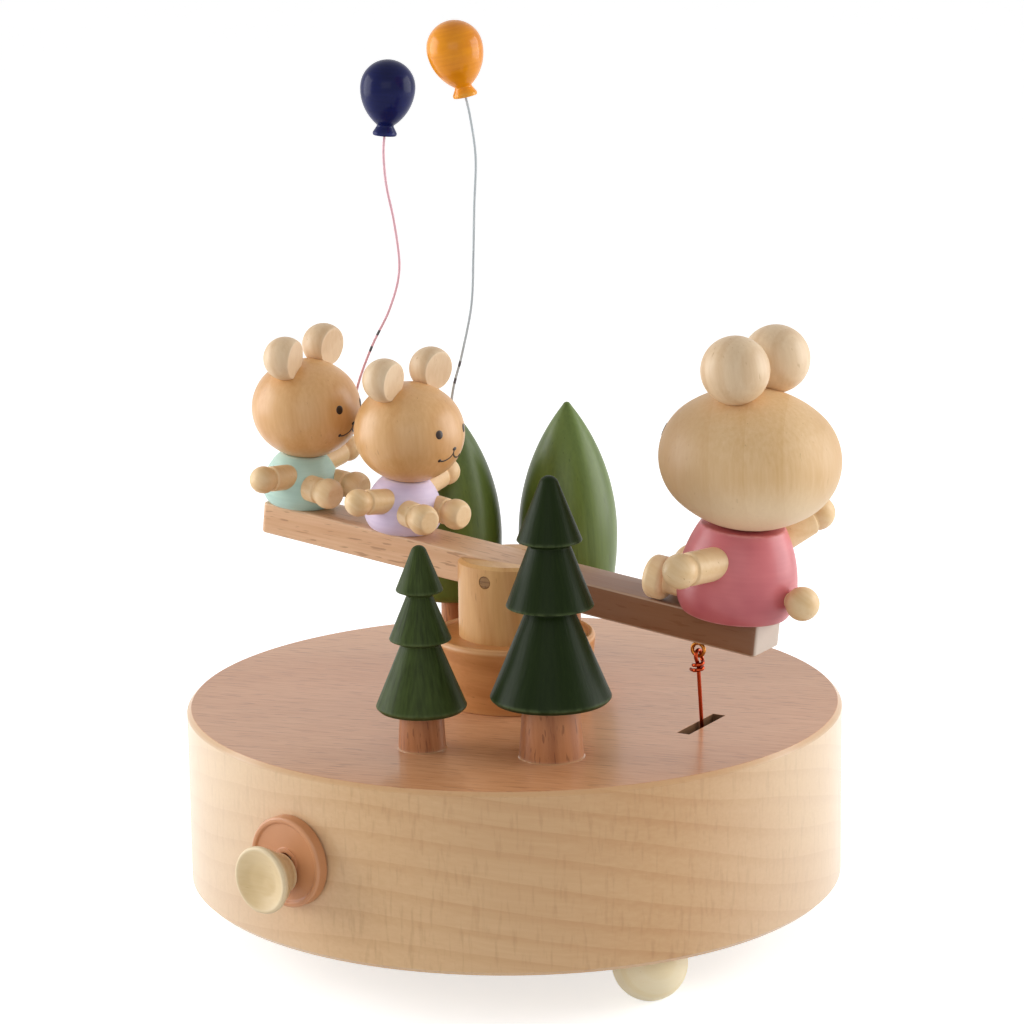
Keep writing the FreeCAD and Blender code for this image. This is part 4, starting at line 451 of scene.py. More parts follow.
def wood(name, pale, deep, ray, layer=5.0, tilt=(0, 0, 0), weights=(0.35, 0.9, 0.5), share=0.1,
         ray_depth=0.5, ray_long=0.09, wander=3.0, roughness=0.46, coat=0.25, edge_colour="#F7EAD2",
         edge_light=0.35, drifts=(), profile="SIN"):
    """Clear lacquered wood, from pale early wood to deep late wood, with rays and lighter worn edges."""
    tree, shader = new_finish(name, Roughness=roughness, Coat_Weight=coat, Coat_Roughness=LACQUER_ROUGH,
                              Specular_IOR_Level=WOOD_SHINE)
    log, tone, fibres = wood_tone(tree, tilt, layer, wander, weights, profile)
    colour = add(tree, "Mix", {"Factor": tone, "A": linear(pale), "B": linear(deep)}, data_type="RGBA")
    rays = add(tree, "Math", {0: wood_rays(tree, log, share, ray_long), 1: ray_depth}, operation="MULTIPLY")
    colour = add(tree, "Mix", {"Factor": rays, "A": colour, "B": linear(ray)}, data_type="RGBA")
    for way, start, end, other, depth in drifts:
        colour = drift(tree, colour, way, start, end, other, depth)
    edge = add(tree, "Attribute", out="Fac", attribute_name="edge")
    worn = add(tree, "Math", {0: edge, 1: edge_light}, operation="MULTIPLY")
    colour = add(tree, "Mix", {"Factor": worn, "A": colour, "B": linear(edge_colour)}, data_type="RGBA")
    dress(tree, shader, colour, fibres)


BEAM_BEARING = -31.0  # the beam's low end, degrees from x
BEAM_TILT = 6.28      # how far its low end is below the level, degrees
BEAM_HALF_LONG = 52.35  # half of its length, mm
PIVOT_HIGH = frame["joints"][0]["pos_m"][2] / MM
beam_way = (spin((0, 0, 1), BEAM_BEARING) @ spin((0, 1, 0), BEAM_TILT))[:3, 0].tolist()
beam_zero = beam_way[2] * PIVOT_HIGH
beam_end = beam_zero + BEAM_HALF_LONG
# The log's own turn puts the fibres of each piece where the turner had them: flat in the beam, upright in
# the trunks and the post, and across the heads.
wood("cover_board", "#D8BC90", "#B8935F", "#8A6238", layer=6.0, tilt=(0, 0, 20))
wood("foot_wood", "#FFF3D4", "#F8E6BA", "#D2B080", layer=3.5, tilt=(70, 0, 15), share=0.03)
wood("knob_wood", "#DFC79C", "#CBAE7C", "#B08C56", layer=3.0, tilt=(80, 0, -35), share=0.02,
     edge_light=0.25)
wood("plinth_wood", "#D1945A", "#AA6C38", "#74431C", layer=5.0, tilt=(6, 4, -20), share=0.05,
     weights=(0.2, 0.9, 0.5), edge_colour="#E3BD8A")
wood("post_wood", "#D8AC72", "#BB864C", "#8E5C2B", layer=4.0, tilt=(0, 84, 25), share=0.04,
     weights=(0.2, 0.9, 0.5), edge_colour="#EACFA0")
wood("pin_wood", "#A9804F", "#6E4927", "#47290F", layer=0.9, tilt=(0, 0, 25), share=0.2, edge_light=0.0)
# The beam's first drift is painted shade, darker towards its low end; the second is its paler end grain.
wood("beam_wood", "#E6C09B", "#C7966D", "#855534", layer=7.0, tilt=(14, 4, BEAM_BEARING), share=0.26,
     ray_depth=0.45, ray_long=0.13, weights=(0.2, 0.7, 0.8), edge_colour="#EBD2B8",
     drifts=((beam_way, beam_zero - 8.0, beam_zero + 20.0, "#6C3C1B", 0.88),
             (beam_way, beam_end - 0.4, beam_end - 0.1, "#C6B5A6", 0.95)))
wood("trunk_wood", "#BC8054", "#955932", "#5E3319", layer=4.0, tilt=(0, 86, 10), share=0.22, ray_depth=0.5,
     ray_long=0.13, weights=(0.3, 0.8, 0.6), edge_light=0.15)
wood("bear_wood", "#E6BD8A", "#C99355", "#A1693A", layer=7.0, tilt=(6, 84, -16), share=0.0,
     weights=(0.15, 1.1, 0.45), wander=1.5, coat=0.5)
wood("ear_wood", "#E6CCA9", "#CFAC84", "#AE8458", layer=3.5, tilt=(10, 80, -35), share=0.04,
     weights=(0.2, 0.8, 0.5), edge_light=0.15)
wood("limb_wood", "#F2D7AE", "#DEB883", "#B08048", layer=3.5, tilt=(8, 30, -31), share=0.03,
     weights=(0.15, 0.9, 0.4), edge_light=0.08)
# Painted shade darkens the big bear's head at both sides and its pink body at its left side, and a painted
# highlight makes the head's chin paler.
big_middle, _, big_high = spot("big_head")[0].tolist()
wood("big_head_wood", "#F2D3A8", "#DAB07A", "#B48C5A", layer=6.2, tilt=(3, 88, -8), share=0.03,
     weights=(0.11, 0.9, 0.5), wander=1.2, roughness=0.52, coat=0.14, profile="SAW",
     drifts=(((0, 0, -1), -big_high, 8.0 - big_high, "#FBE8C8", 0.55),
             ((-1, 0, 0), -big_middle, 16.0 - big_middle, "#8E6B44", 0.75),
             ((1, 0, 0), 7.0 + big_middle, 16.0 + big_middle, "#BE9768", 0.6)))
print("clear woods:", list(finishes))

# %% [markdown]
# ## The beech block
# The block is the same beech, but its top and its wall look different on the real object: the top is cut
# with the fibres and shows reddish wood with short dark rays, while the wall shows thin layers that climb a
# little and small upright flecks. The top's deeper tone is partly that cut and partly painted shade. The
# wall is paler towards its left and right sides, a painted highlight. One pattern can do both if the colours
# depend on height: above the last twentieth of a millimetre the coordinate belongs to the top. The bevel
# between them is a little more orange. Inside the slot the cut is bare, and painted dark as shade.

# %% A finish for the block
_, base_low, base_high = spot("base_body")
BASE_TOP = base_high[2]
BASE_RADIUS = base_high[0]
FLECK = 0.8           # an upright fleck's width on the wall, mm
TOP_SKIN = 0.05       # how far below the top its colours reach, mm
BEVEL = (0.9, 0.4)    # where the bevel's tone sets in and is full, mm below the top
WALL_SKIN = 3.0       # what lies deeper in than this is the inside of a cut, mm


def block_finish(name):
    """Beech whose top is reddish with rays along x and whose wall is pale with thin layers and flecks, with a
    painted highlight towards the wall's sides and painted shade in the slot.
    """
    tree, shader = new_finish(name, Roughness=0.45, Coat_Weight=0.6, Coat_Roughness=0.2,
                              Specular_IOR_Level=0.1)
    log, tone, wall_fibres = wood_tone(tree, (-13.5, 7.5, 0), 4.5, 7.0, (0.16, 1.0, 0.35), "SAW", lift=3.0)
    wall = add(tree, "Mix", {"Factor": tone, "A": linear("#DFBA8C"), "B": linear("#C39262")},
               data_type="RGBA")
    place = add(tree, "TexCoord", out="Object")
    upright = add(tree, "Mapping", {"Vector": place, "Scale": (1, 1, 0.16)})
    flecks = add(tree, "TexNoise", {"Vector": upright, "Scale": 1 / (FLECK * MM), "Detail": 2.0})
    fleck = add(tree, "MapRange", {"Value": flecks, "From Min": 0.54, "From Max": 0.72, "To Max": 0.2})
    wall = add(tree, "Mix", {"Factor": fleck, "A": wall, "B": linear("#9C6A3E")}, data_type="RGBA")
    # Painted highlight: the wall turns paler towards its left and right sides.
    for way in ((-1.0, 0, 0), (1.0, 0, 0)):
        wall = drift(tree, wall, way, 22.0, 62.0, "#EADBC4", 0.5)

    # The top's deeper, redder colours are partly its cut with the fibres and partly painted shade.
    log, tone, top_fibres = wood_tone(tree, (9, 3, -17), 11.0, 6.0, (0.2, 0.8, 0.9))
    top = add(tree, "Mix", {"Factor": tone, "A": linear("#DFA87D"), "B": linear("#B97A49")},
              data_type="RGBA")
    rays = add(tree, "Math", {0: wood_rays(tree, log, 0.25), 1: 0.35}, operation="MULTIPLY")
    top = add(tree, "Mix", {"Factor": rays, "A": top, "B": linear("#86502E")}, data_type="RGBA")

    height = add(tree, "SeparateXYZ", {0: place}, out="Z")
    low, high = ((BASE_TOP - below) * MM for below in BEVEL)
    bevel = add(tree, "MapRange", {"Value": height, "From Min": low, "From Max": high, "To Max": 0.6})
    wall = add(tree, "Mix", {"Factor": bevel, "A": wall, "B": linear("#D0A070")}, data_type="RGBA")
    # Painted shade: the wall inside the slot is darkened.
    level = add(tree, "Mapping", {"Vector": place, "Scale": (1, 1, 0)})
    reach = add(tree, "VectorMath", {0: level}, operation="LENGTH")
    inside = add(tree, "Math", {0: reach, 1: (BASE_RADIUS - WALL_SKIN) * MM}, operation="LESS_THAN")
    wall = add(tree, "Mix", {"Factor": inside, "A": wall, "B": linear("#7C5C42")}, data_type="RGBA")
    is_top = add(tree, "Math", {0: height, 1: (BASE_TOP - TOP_SKIN) * MM}, operation="GREATER_THAN")
    colour = add(tree, "Mix", {"Factor": is_top, "A": wall, "B": top}, data_type="RGBA")
    dress(tree, shader, colour, add(tree, "Mix", {"Factor": is_top, "A": wall_fibres, "B": top_fibres}))


block_finish("base_beech")
print("block from", base_low.round(2).tolist(), "to", base_high.round(2).tolist())

# %% [markdown]
# ## Paint on wood
# The small bodies, the firs and the balloons are dipped or brushed in water paint. Thin paint keeps a little
# of the wood's grain as a relief, pools slightly, and wears on the raised edges until the lighter ground
# shows. The firs and the balloons are smoother than the bodies. Brush marks follow the turning, so their
# pattern reads the piece's own map: across it goes round the piece, along it goes up the outline.

# %% A finish for painted wood
BRUSH = 0.9           # a brush mark's width, mm
CLOUD = 9.0           # width of the paint's pools, mm
CHIP = 1.6            # width of a worn spot, mm


def paint(name, colour, shade, worn, roughness=0.5, coat=0.08, coat_rough=0.3, wear=0.5,
          ring=(0.08, 1.0), relief=0.2, mottle=0.6, shine=0.35, drifts=()):
    """Painted turned wood. ring stretches the brush marks: the first number is the scale round the piece
    and the second the scale along its outline. mottle is the share of the pools in the tone."""
    tree, shader = new_finish(name, Roughness=roughness, Coat_Weight=coat, Coat_Roughness=coat_rough,
                              Specular_IOR_Level=shine)
    turned_way = add(tree, "Mapping", {"Vector": add(tree, "TexCoord", out="UV"), "Scale": (*ring, 1.0)})
    marks = add(tree, "TexNoise", {"Vector": turned_way, "Scale": 1 / (BRUSH * MM), "Detail": 3.0,
                                   "Roughness": 0.55})
    place = add(tree, "TexCoord", out="Object")
    clouds = add(tree, "TexNoise", {"Vector": place, "Scale": 1 / (CLOUD * MM), "Detail": 2.0})
    tone = add(tree, "Math", {0: marks, 1: 1 - mottle}, operation="MULTIPLY")
    tone = add(tree, "Math", {0: clouds, 1: mottle, 2: tone}, operation="MULTIPLY_ADD")
    tone = add(tree, "MapRange", {"Value": tone, "From Min": 0.32, "From Max": 0.68})
    painted = add(tree, "Mix", {"Factor": tone, "A": linear(colour), "B": linear(shade)}, data_type="RGBA")
    for way, start, end, other, depth in drifts:
        painted = drift(tree, painted, way, start, end, other, depth)
    chips = add(tree, "TexNoise", {"Vector": place, "Scale": 1 / (CHIP * MM), "Detail": 3.0})
    share = add(tree, "MapRange", {"Value": chips, "From Min": 0.35, "From Max": 0.6, "To Min": 0.3 * wear,
                                   "To Max": wear})
    edge = add(tree, "Attribute", out="Fac", attribute_name="edge")
    share = add(tree, "Math", {0: edge, 1: share}, operation="MULTIPLY")
    painted = add(tree, "Mix", {"Factor": share, "A": painted, "B": linear(worn)}, data_type="RGBA")
    dress(tree, shader, painted, marks, strength=relief, depth=0.12)


paint("mint_paint", "#BFDDD2", "#A8CBC0", "#E6F2EC")
paint("lilac_paint", "#E4D8EE", "#D0C1DE", "#F3EDF4")
# Painted shade: the pink body is darker on its left side.
paint("pink_paint", "#CE7074", "#B5575E", "#E6AEAF", coat=0.3, coat_rough=0.25, relief=0.1, mottle=0.85,
      drifts=(((-1, 0, 0), 4.0 - big_middle, 16.0 - big_middle, "#7E2F34", 0.5),))
# The large fir's green is darker than the small one's.
small_fir, large_fir = (spot(name + "_fir_crown")[0] for name in ("small", "large"))
fir_way = ((large_fir - small_fir) * (1, 1, 0) / np.hypot(*(large_fir - small_fir)[:2])).tolist()
fir_half = float(np.dot((small_fir + large_fir) / 2, fir_way))
paint("fir_green", "#435128", "#2B3519", "#6C7A52", roughness=0.4, coat=0.03, coat_rough=0.2, wear=0.4,
      ring=(1.0, 0.2), relief=0.5, mottle=0.3, shine=0.06,
      drifts=((fir_way, fir_half - 1.0, fir_half + 1.0, "#0E1C03", 0.85),))
paint("navy_paint", "#161D56", "#0E1440", "#3F478C", roughness=0.28, coat=0.1, coat_rough=0.1, wear=0.3,
      shine=0.08)
paint("orange_paint", "#EE9A12", "#D87E08", "#F6BC50", roughness=0.28, coat=0.25, coat_rough=0.1, wear=0.3,
      mottle=0.5, relief=0.1, shine=0.15)
# The rear trees are stained, not painted: the wood's own upright fibres stay in view.
wood("rear_green", "#667A36", "#43551C", "#33440F", layer=5.0, tilt=(0, 86, 20), share=0.08,
     ray_depth=0.35, roughness=0.42, weights=(0.15, 0.9, 0.45), edge_colour="#93A868")
print("paints and stain:", len(finishes))

# %% [markdown]
# ## Plastic, metal and ink
# The winding plate is moulded ABS, which has a fine even grit from the mould. The screws, the comb and the
# arbor are steel, the eye, the cylinder and the gears are brass, and the pull wire is enamelled copper. A
# metal gets its colour from its reflection, so its own pattern is in how rough it is: drawn or turned metal
# has fine lines. The balloon wires wear a thin coloured coat with a few dark rings. The faces are printed in
# a brown-black ink.

# %% Finishes for the small hard pieces
def two_tones(tree, place, cloud, colour, shade):
    """Two near tones that change in slow clouds of this width in mm."""
    clouds = add(tree, "TexNoise", {"Vector": place, "Scale": 1 / (cloud * MM), "Detail": 2.0})
    return add(tree, "Mix", {"Factor": clouds, "A": linear(colour), "B": linear(shade)}, data_type="RGBA")


def moulded(name, colour, shade, roughness=0.4, grit=0.35):
    """Moulded plastic: two near tones in slow clouds and a fine even grit."""
    tree, shader = new_finish(name, Roughness=roughness)
    place = add(tree, "TexCoord", out="Object")
    fine = add(tree, "TexNoise", {"Vector": place, "Scale": 1 / (grit * MM), "Detail": 2.0})
    dress(tree, shader, two_tones(tree, place, 5.0, colour, shade), fine, strength=0.12, depth=0.04)


def metal(name, colour, shade, smooth=0.25, dull=0.42, line=0.3, stretch=(1, 1, 0.08)):
    """Bare metal: two near tones, and a roughness that changes in fine stretched lines."""
    tree, shader = new_finish(name, Metallic=1.0)
    place = add(tree, "TexCoord", out="Object")
    drawn_way = add(tree, "Mapping", {"Vector": place, "Scale": stretch})
    lines = add(tree, "TexNoise", {"Vector": drawn_way, "Scale": 1 / (line * MM), "Detail": 3.0})
    rough = add(tree, "MapRange", {"Value": lines, "To Min": smooth, "To Max": dull})
    tree.links.new(rough, shader.inputs["Roughness"])
    dress(tree, shader, two_tones(tree, place, 4.0, colour, shade))


def coated_wire(name, colour, shade, ringed):
    """A coated wire with dark rings. They lie where a sine of the length along the wire is high, between
    the start and the end given as ringed with their period, in mm."""
    tree, shader = new_finish(name, Roughness=0.38, Coat_Weight=0.3, Coat_Roughness=0.2)
    coat = two_tones(tree, add(tree, "TexCoord", out="Object"), 2.5, colour, shade)
    start, end, period = (value * MM for value in ringed)
    length = add(tree, "SeparateXYZ", {0: add(tree, "TexCoord", out="UV")}, out="Y")
    onward = add(tree, "Math", {0: length, 1: start}, operation="SUBTRACT")
    phase = add(tree, "Math", {0: onward, 1: 2 * math.pi / period}, operation="MULTIPLY")
    swing = add(tree, "Math", {0: phase}, operation="SINE")
    dark = add(tree, "MapRange", {"Value": swing, "From Min": 0.45, "From Max": 0.6})
    for limit, side in ((start, "GREATER_THAN"), (end, "LESS_THAN")):
        dark = add(tree, "Math", {0: add(tree, "Math", {0: length, 1: limit}, operation=side), 1: dark},
                   operation="MULTIPLY")
    dress(tree, shader, add(tree, "Mix", {"Factor": dark, "A": coat, "B": linear("#4B474C")},
                            data_type="RGBA"))


moulded("plate_plastic", "#D09468", "#C08356")
moulded("fan_plastic", "#3B3E42", "#2E3135")
moulded("face_ink", "#2E1D12", "#1D120B", roughness=0.35)
moulded("dried_glue", "#C99B72", "#B98A60", roughness=0.15)
metal("steel", "#C9CCD0", "#AEB2B8")
metal("spring_steel", "#8F959E", "#6F7680", smooth=0.2, dull=0.35)
metal("cast_frame", "#B9BBBD", "#9A9DA1", smooth=0.42, dull=0.6, line=0.5, stretch=(1, 1, 1))
metal("brass", "#E2BE6E", "#C79B48")
metal("eye_brass", "#C9843A", "#9A5A22", smooth=0.22, dull=0.4)
metal("copper_wire", "#C2502A", "#8E2F17", smooth=0.2, dull=0.36)
coated_wire("pink_wire", "#E8B9C3", "#DDA7B4", (18.2, 24.6, 3.4))
coated_wire("grey_wire", "#C3CACD", "#B0B9BE", (15.8, 21.8, 3.3))
print("all finishes:", len(finishes))

# %% [markdown]
# ## The block's fittings
# The plinth, the knob, the plate, the pin and the three feet are all turned, so each is one half outline.
# The block and the slotted post keep the CAD's own mesh, because their cuts are already exact.

# %% Outlines of the fittings
KNOB_BEARING = 230.2
knob_way = np.array((math.cos(math.radians(KNOB_BEARING)), math.sin(math.radians(KNOB_BEARING)), 0))


def upright_arc(across, rise):
    """Radius of an arc that starts upright: (across squared plus rise squared) over twice across."""
    return (across ** 2 + rise ** 2) / (2 * across)


def cap_arc(across, rise):
    """Radius of a ball's cap: (across squared plus rise squared) over twice rise."""
    return (across ** 2 + rise ** 2) / (2 * rise)


def leg_of(long_side, side):
    """The other side of a right triangle: the root of long squared minus side squared."""
    return math.sqrt(long_side ** 2 - side ** 2)


plinth_low, plinth_high = spot("pivot_plinth")[1:]
PLINTH_RIM = plinth_high[0]
PLINTH_FOOT = 13.9
PLINTH_BEVEL = (0.5, 0.6)  # its outer bevel, across and down
PLINTH_LIP = 1.0      # from the rim to the dish
PLINTH_DISH = 0.4     # depth of the dish
plinth_tall = plinth_high[2] - plinth_low[2]
plinth = drawn([
    (0, 0),
    (PLINTH_FOOT, 0),
    (PLINTH_RIM, plinth_tall - PLINTH_BEVEL[1]),
    (PLINTH_RIM - PLINTH_BEVEL[0], plinth_tall),
    (PLINTH_RIM - PLINTH_LIP, plinth_tall),
    (PLINTH_RIM - PLINTH_LIP - PLINTH_DISH, plinth_tall - PLINTH_DISH),
    (0, plinth_tall - PLINTH_DISH),
], 0.35)
stand_for("pivot_plinth", lathe(plinth, shift(0, 0, BASE_TOP)))

PIN_RADIUS = 1.15
PIN_HALF = 9.9
pin = drawn([(0, -PIN_HALF), (PIN_RADIUS, -PIN_HALF), (PIN_RADIUS, PIN_HALF), (0, PIN_HALF)], 0.2)
across_beam = (-math.sin(math.radians(BEAM_BEARING)), math.cos(math.radians(BEAM_BEARING)), 0)
stand_for("pivot_pin", lathe(pin, aim((0, 0, PIVOT_HIGH), across_beam)))

plate_middle = spot("winding_plate")[0]
PLATE_RADIUS = 8.0
PLATE_THICK = 2.2
PLATE_BORE = 1.65
PLATE_BEVEL = 0.3
PLATE_RIM = 0.9       # width of the raised rim and of the collar round the bore
GLUE_LINE = 0.02      # between the plate and the block
plate_start = knob_way * (BASE_RADIUS + GLUE_LINE) + (0, 0, plate_middle[2])
plate_face = PLATE_THICK - 0.4
collar_high = plate_face + 0.2
plate = drawn([
    (PLATE_BORE, 0),
    (PLATE_RADIUS, 0),
    (PLATE_RADIUS, PLATE_THICK - PLATE_BEVEL),
    (PLATE_RADIUS - PLATE_BEVEL, PLATE_THICK),
    (PLATE_RADIUS - PLATE_RIM, PLATE_THICK),
    (PLATE_RADIUS - PLATE_RIM - PLATE_BEVEL, plate_face),
    (PLATE_BORE + PLATE_RIM, plate_face),
    (PLATE_BORE + PLATE_RIM, collar_high),
    (PLATE_BORE, collar_high),
    (PLATE_BORE, 0),
], 0.2)
stand_for("winding_plate", lathe(plate, aim(plate_start, knob_way), 160, closed=True))

KNOB_RADIUS = 5.95
KNOB_NECK = 3.5
KNOB_NECK_LONG = 0.9
KNOB_LONG = 5.9
KNOB_DISH = 1.3       # depth of its hollow face
KNOB_GAP = 0.4        # between the plate and the knob
ARBOR_HIGH = 25.2
knob_start = knob_way * (BASE_RADIUS + GLUE_LINE + PLATE_THICK + KNOB_GAP) + (0, 0, ARBOR_HIGH)
knob = drawn([
    (0, 0),
    (KNOB_NECK, 0),
    (KNOB_NECK, KNOB_NECK_LONG),
    (KNOB_RADIUS - 1.0, 3.2),
    (KNOB_RADIUS, KNOB_LONG - 0.8),
    (KNOB_RADIUS - 0.1, KNOB_LONG - 0.2),
    (KNOB_RADIUS - 0.5, KNOB_LONG),
    (3.0, KNOB_LONG - 0.9),
    (0, KNOB_LONG - KNOB_DISH),
], 0.6)
stand_for("knob_head", lathe(knob, aim(knob_start, knob_way), 96))

FOOT_BALL = 6.67
FOOT_REACH = 49.5     # from the middle of the block
FOOT_BEARING = 57.6   # the first foot, degrees from x
FOOT_FLAT = 0.2       # depth of the flat that it rests on
foot_flat = leg_of(FOOT_BALL, FOOT_BALL - FOOT_FLAT)
foot_top = base_low[2]
foot_seat = leg_of(FOOT_BALL, foot_top - FOOT_BALL + FOOT_FLAT)
ball_foot = drawn([(0, 0), (foot_flat, 0, FOOT_BALL), (foot_seat, foot_top), (0, foot_top)], 0.2)
stand_for("ball_feet", *(lathe(ball_foot, spin((0, 0, 1), FOOT_BEARING + turn) @ shift(FOOT_REACH, 0, 0))
                         for turn in (0, 120, 240)))
print("fittings:", count_of)

# %% [markdown]
# ## Trees
# Each fir is one crown turned in three tiers and one short trunk, glued in with a little bead round it. The
# tiers' rims are where hands and tools touch, so their outline carries the strongest wear. A rear tree is a
# single spindle that swells to a third of its height and runs to a blunt point.

# %% Firs and rear trees
CAP_SHARE = 0.75      # the height of a tip's round cap, as a share of its radius


def fir(name, tip, nose, tiers, under, trunk):
    """A fir from its half outline. tiers lists rim, edge height and neck from the top tier down, and the
    last tier has no neck. trunk is its radius at the top and at the foot."""
    place = shift(*spot(name + "_crown")[0][:2], BASE_TOP)
    (rim_one, edge_one, neck_one), (rim_two, edge_two, neck_two), (rim_three, edge_three) = tiers
    foot = edge_three - under
    drop = nose * CAP_SHARE
    crown = drawn([
        (0, foot),
        (rim_three - under, foot),
        (rim_three, edge_three),
        (neck_two, edge_two - under),
        (rim_two, edge_two),
        (neck_one, edge_one - under),
        (rim_one, edge_one),
        (nose, tip - drop, cap_arc(nose, drop)),
        (0, tip),
    ], 0.3)
    stand_for(name + "_crown", lathe(crown, place, 144))
    stem = drawn([(0, 0), (trunk[1], 0), (trunk[0], foot), (0, foot)], 0.3)
    stand_for(name + "_trunk", lathe(stem, place))
    bead = drawn([(trunk[1] - 0.3, 0.0), (trunk[1] + 0.2, 0.0), (trunk[1] - 0.1, 0.25),
                  (trunk[1] - 0.3, 0.0)], 0.1)
    detail(name + "_glue", "dried_glue", "base", "trunk_wood", lathe(bead, place, closed=True))


fir("small_fir", tip=36.3, nose=1.4, tiers=((4.2, 28.3, 2.25), (5.5, 19.6, 3.4), (8.0, 7.6)), under=0.8,
    trunk=(3.8, 4.2))
fir("large_fir", tip=49.6, nose=1.7, tiers=((5.7, 38.3, 3.6), (7.65, 26.8, 4.2), (10.6, 10.7)), under=0.8,
    trunk=(4.9, 5.7))


def rear_tree(name, wide=9.5, base=8.7, round_off=2.6, waist=22.5, nose=0.8, trunk=2.4):
    """A rear tree from its half outline: rounded below, widest at the waist and blunt at the tip."""
    middle, low, high = spot(name + "_crown")
    place = shift(*middle[:2], BASE_TOP)
    foot, tip = low[2] - BASE_TOP, high[2] - BASE_TOP
    drop = nose * CAP_SHARE
    crown = drawn([
        (0, foot),
        (base - round_off, foot, round_off),
        (base, foot + round_off, upright_arc(wide - base, waist - foot - round_off)),
        (wide, waist, upright_arc(wide - nose, tip - drop - waist)),
        (nose, tip - drop, cap_arc(nose, drop)),
        (0, tip),
    ], 0.4)
    stand_for(name + "_crown", lathe(crown, place, 144))
    stem = drawn([(0, 0), (trunk, 0), (trunk, foot), (0, foot)], 0.2)
    stand_for(name + "_trunk", lathe(stem, place))


rear_tree("left_tree")
rear_tree("right_tree")
print("with trees:", count_of)

# %% [markdown]
# ## The beam
# The beam is a planed bar. A box with hard edges would look wrong, because the edges of a toy are broken
# with sandpaper. Here its outline seen from above is a ring with round corners, lifted in steps that pull it
# in a little at the top and at the bottom.

# %% The seesaw's bar
BEAM_THICK = 5.84
BEAM_HALF_WIDE = 5.0
BEAM_CORNER = 1.0
BEAM_EASE = 0.4       # how far its long edges are broken
beam_frame = shift(0, 0, PIVOT_HIGH) @ spin((0, 0, 1), BEAM_BEARING) @ spin((0, 1, 0), BEAM_TILT)


def rounded_bar(half_long, half_wide, corner, spacing=0.8):
    """A ring round a bar with round corners, and its outward normals: straight runs and quarter circles."""
    ring, ways = [], []
    inner_x, inner_y = half_long - corner, half_wide - corner
    for number, (sx, sy) in enumerate(((1, -1), (1, 1), (-1, 1), (-1, -1))):
        angle = np.radians(-90 + 90 * number + np.linspace(0, 90, 9))
        way = np.stack((np.cos(angle), np.sin(angle)), axis=1)
        ring.append(np.array((sx * inner_x, sy * inner_y)) + corner * way)
        ways.append(way)
        length = 2 * (inner_y if number % 2 == 0 else inner_x)
        count = max(2, round(length / spacing))
        after = np.array(((1, 1), (-1, 1), (-1, -1), (1, -1))[number]) * (inner_x, inner_y) + corner * way[-1]
        run = np.linspace(0, 1, count + 1)[1:-1, None]
        ring.append(ring[-1][-1] + run * (after - ring[-1][-1]))
        ways.append(np.repeat(way[-1:], count - 1, 0))
    return np.vstack(ring), np.vstack(ways)


ring, ways = rounded_bar(BEAM_HALF_LONG, BEAM_HALF_WIDE, BEAM_CORNER)
turn = np.radians(np.linspace(0, 90, 5))
low_steps = [(BEAM_EASE * (1 - math.sin(a)), BEAM_EASE * (1 - math.cos(a)) - BEAM_THICK / 2) for a in turn]
levels = np.linspace(BEAM_EASE - BEAM_THICK / 2, BEAM_THICK / 2 - BEAM_EASE, 6)[1:-1]
high_steps = [(inset, -height) for inset, height in reversed(low_steps)]
steps = low_steps + [(0.0, level) for level in levels] + high_steps
stand_for("seesaw_beam", slab(ring, ways, steps, beam_frame))
print("beam:", len(ring), "points round,", len(steps), "levels")

# %% [markdown]
# ## Bears
# A bear is a painted body, a head that is a flattened ball, two ear balls with a flat on their front, and
# pegs with a ball turned at the end for hands and feet. The two small bears share one set of measures, and
# the big one has its own. Every piece is drawn in the bear's own frame, where x looks forward and z is up.
# An arm is given by where its root and its hand are: reach, bearing and height, and for the far arm, whose
# bearing differs from bear to bear, reach and height.

# %% Outlines of a bear
def oval(wide, high, bend, under):
    """A head: a small arc of radius bend at its sides runs smoothly into large arcs above and below. The
    large radius is ((a - r) squared + b squared - r squared) over 2 (b - r), for half width a, half height b
    and bend r."""
    a, b = wide / 2, high / 2
    crown = ((a - bend) ** 2 + b ** 2 - bend ** 2) / (2 * (b - bend))
    share = bend / (crown - bend)
    out, up = (a - bend) * (1 + share), (crown - b) * share
    low = b - under
    flat = leg_of(crown, crown - b + low)
    return drawn([(0, -low), (flat, -low, crown), (out, -up, bend), (out, up, crown), (0, b)], 0.3)


def limb(start, tip, peg, ball, neck, flat=None):
    """An arm or a leg along its own axis: a peg, a groove and a ball, with a sole where flat is given."""
    start, tip = np.array(start, float), np.array(tip, float)
    reach = np.linalg.norm(tip - start)
    dip = leg_of(ball, neck)
    groove = reach - dip
    corners = [(0, 0), (peg, 0), (peg, groove - 0.5), (neck, groove - 0.3), (neck, groove, ball)]
    if flat is None:
        corners.append((0, reach + ball))
    else:
        corners += [(leg_of(ball, flat), reach + flat), (0, reach + flat)]
    return drawn(corners, 0.3), aim(start, tip - start)


def polar(reach, bearing, height):
    """A point at a reach and a bearing round the bear's own z."""
    return (reach * math.cos(math.radians(bearing)), reach * math.sin(math.radians(bearing)), height)


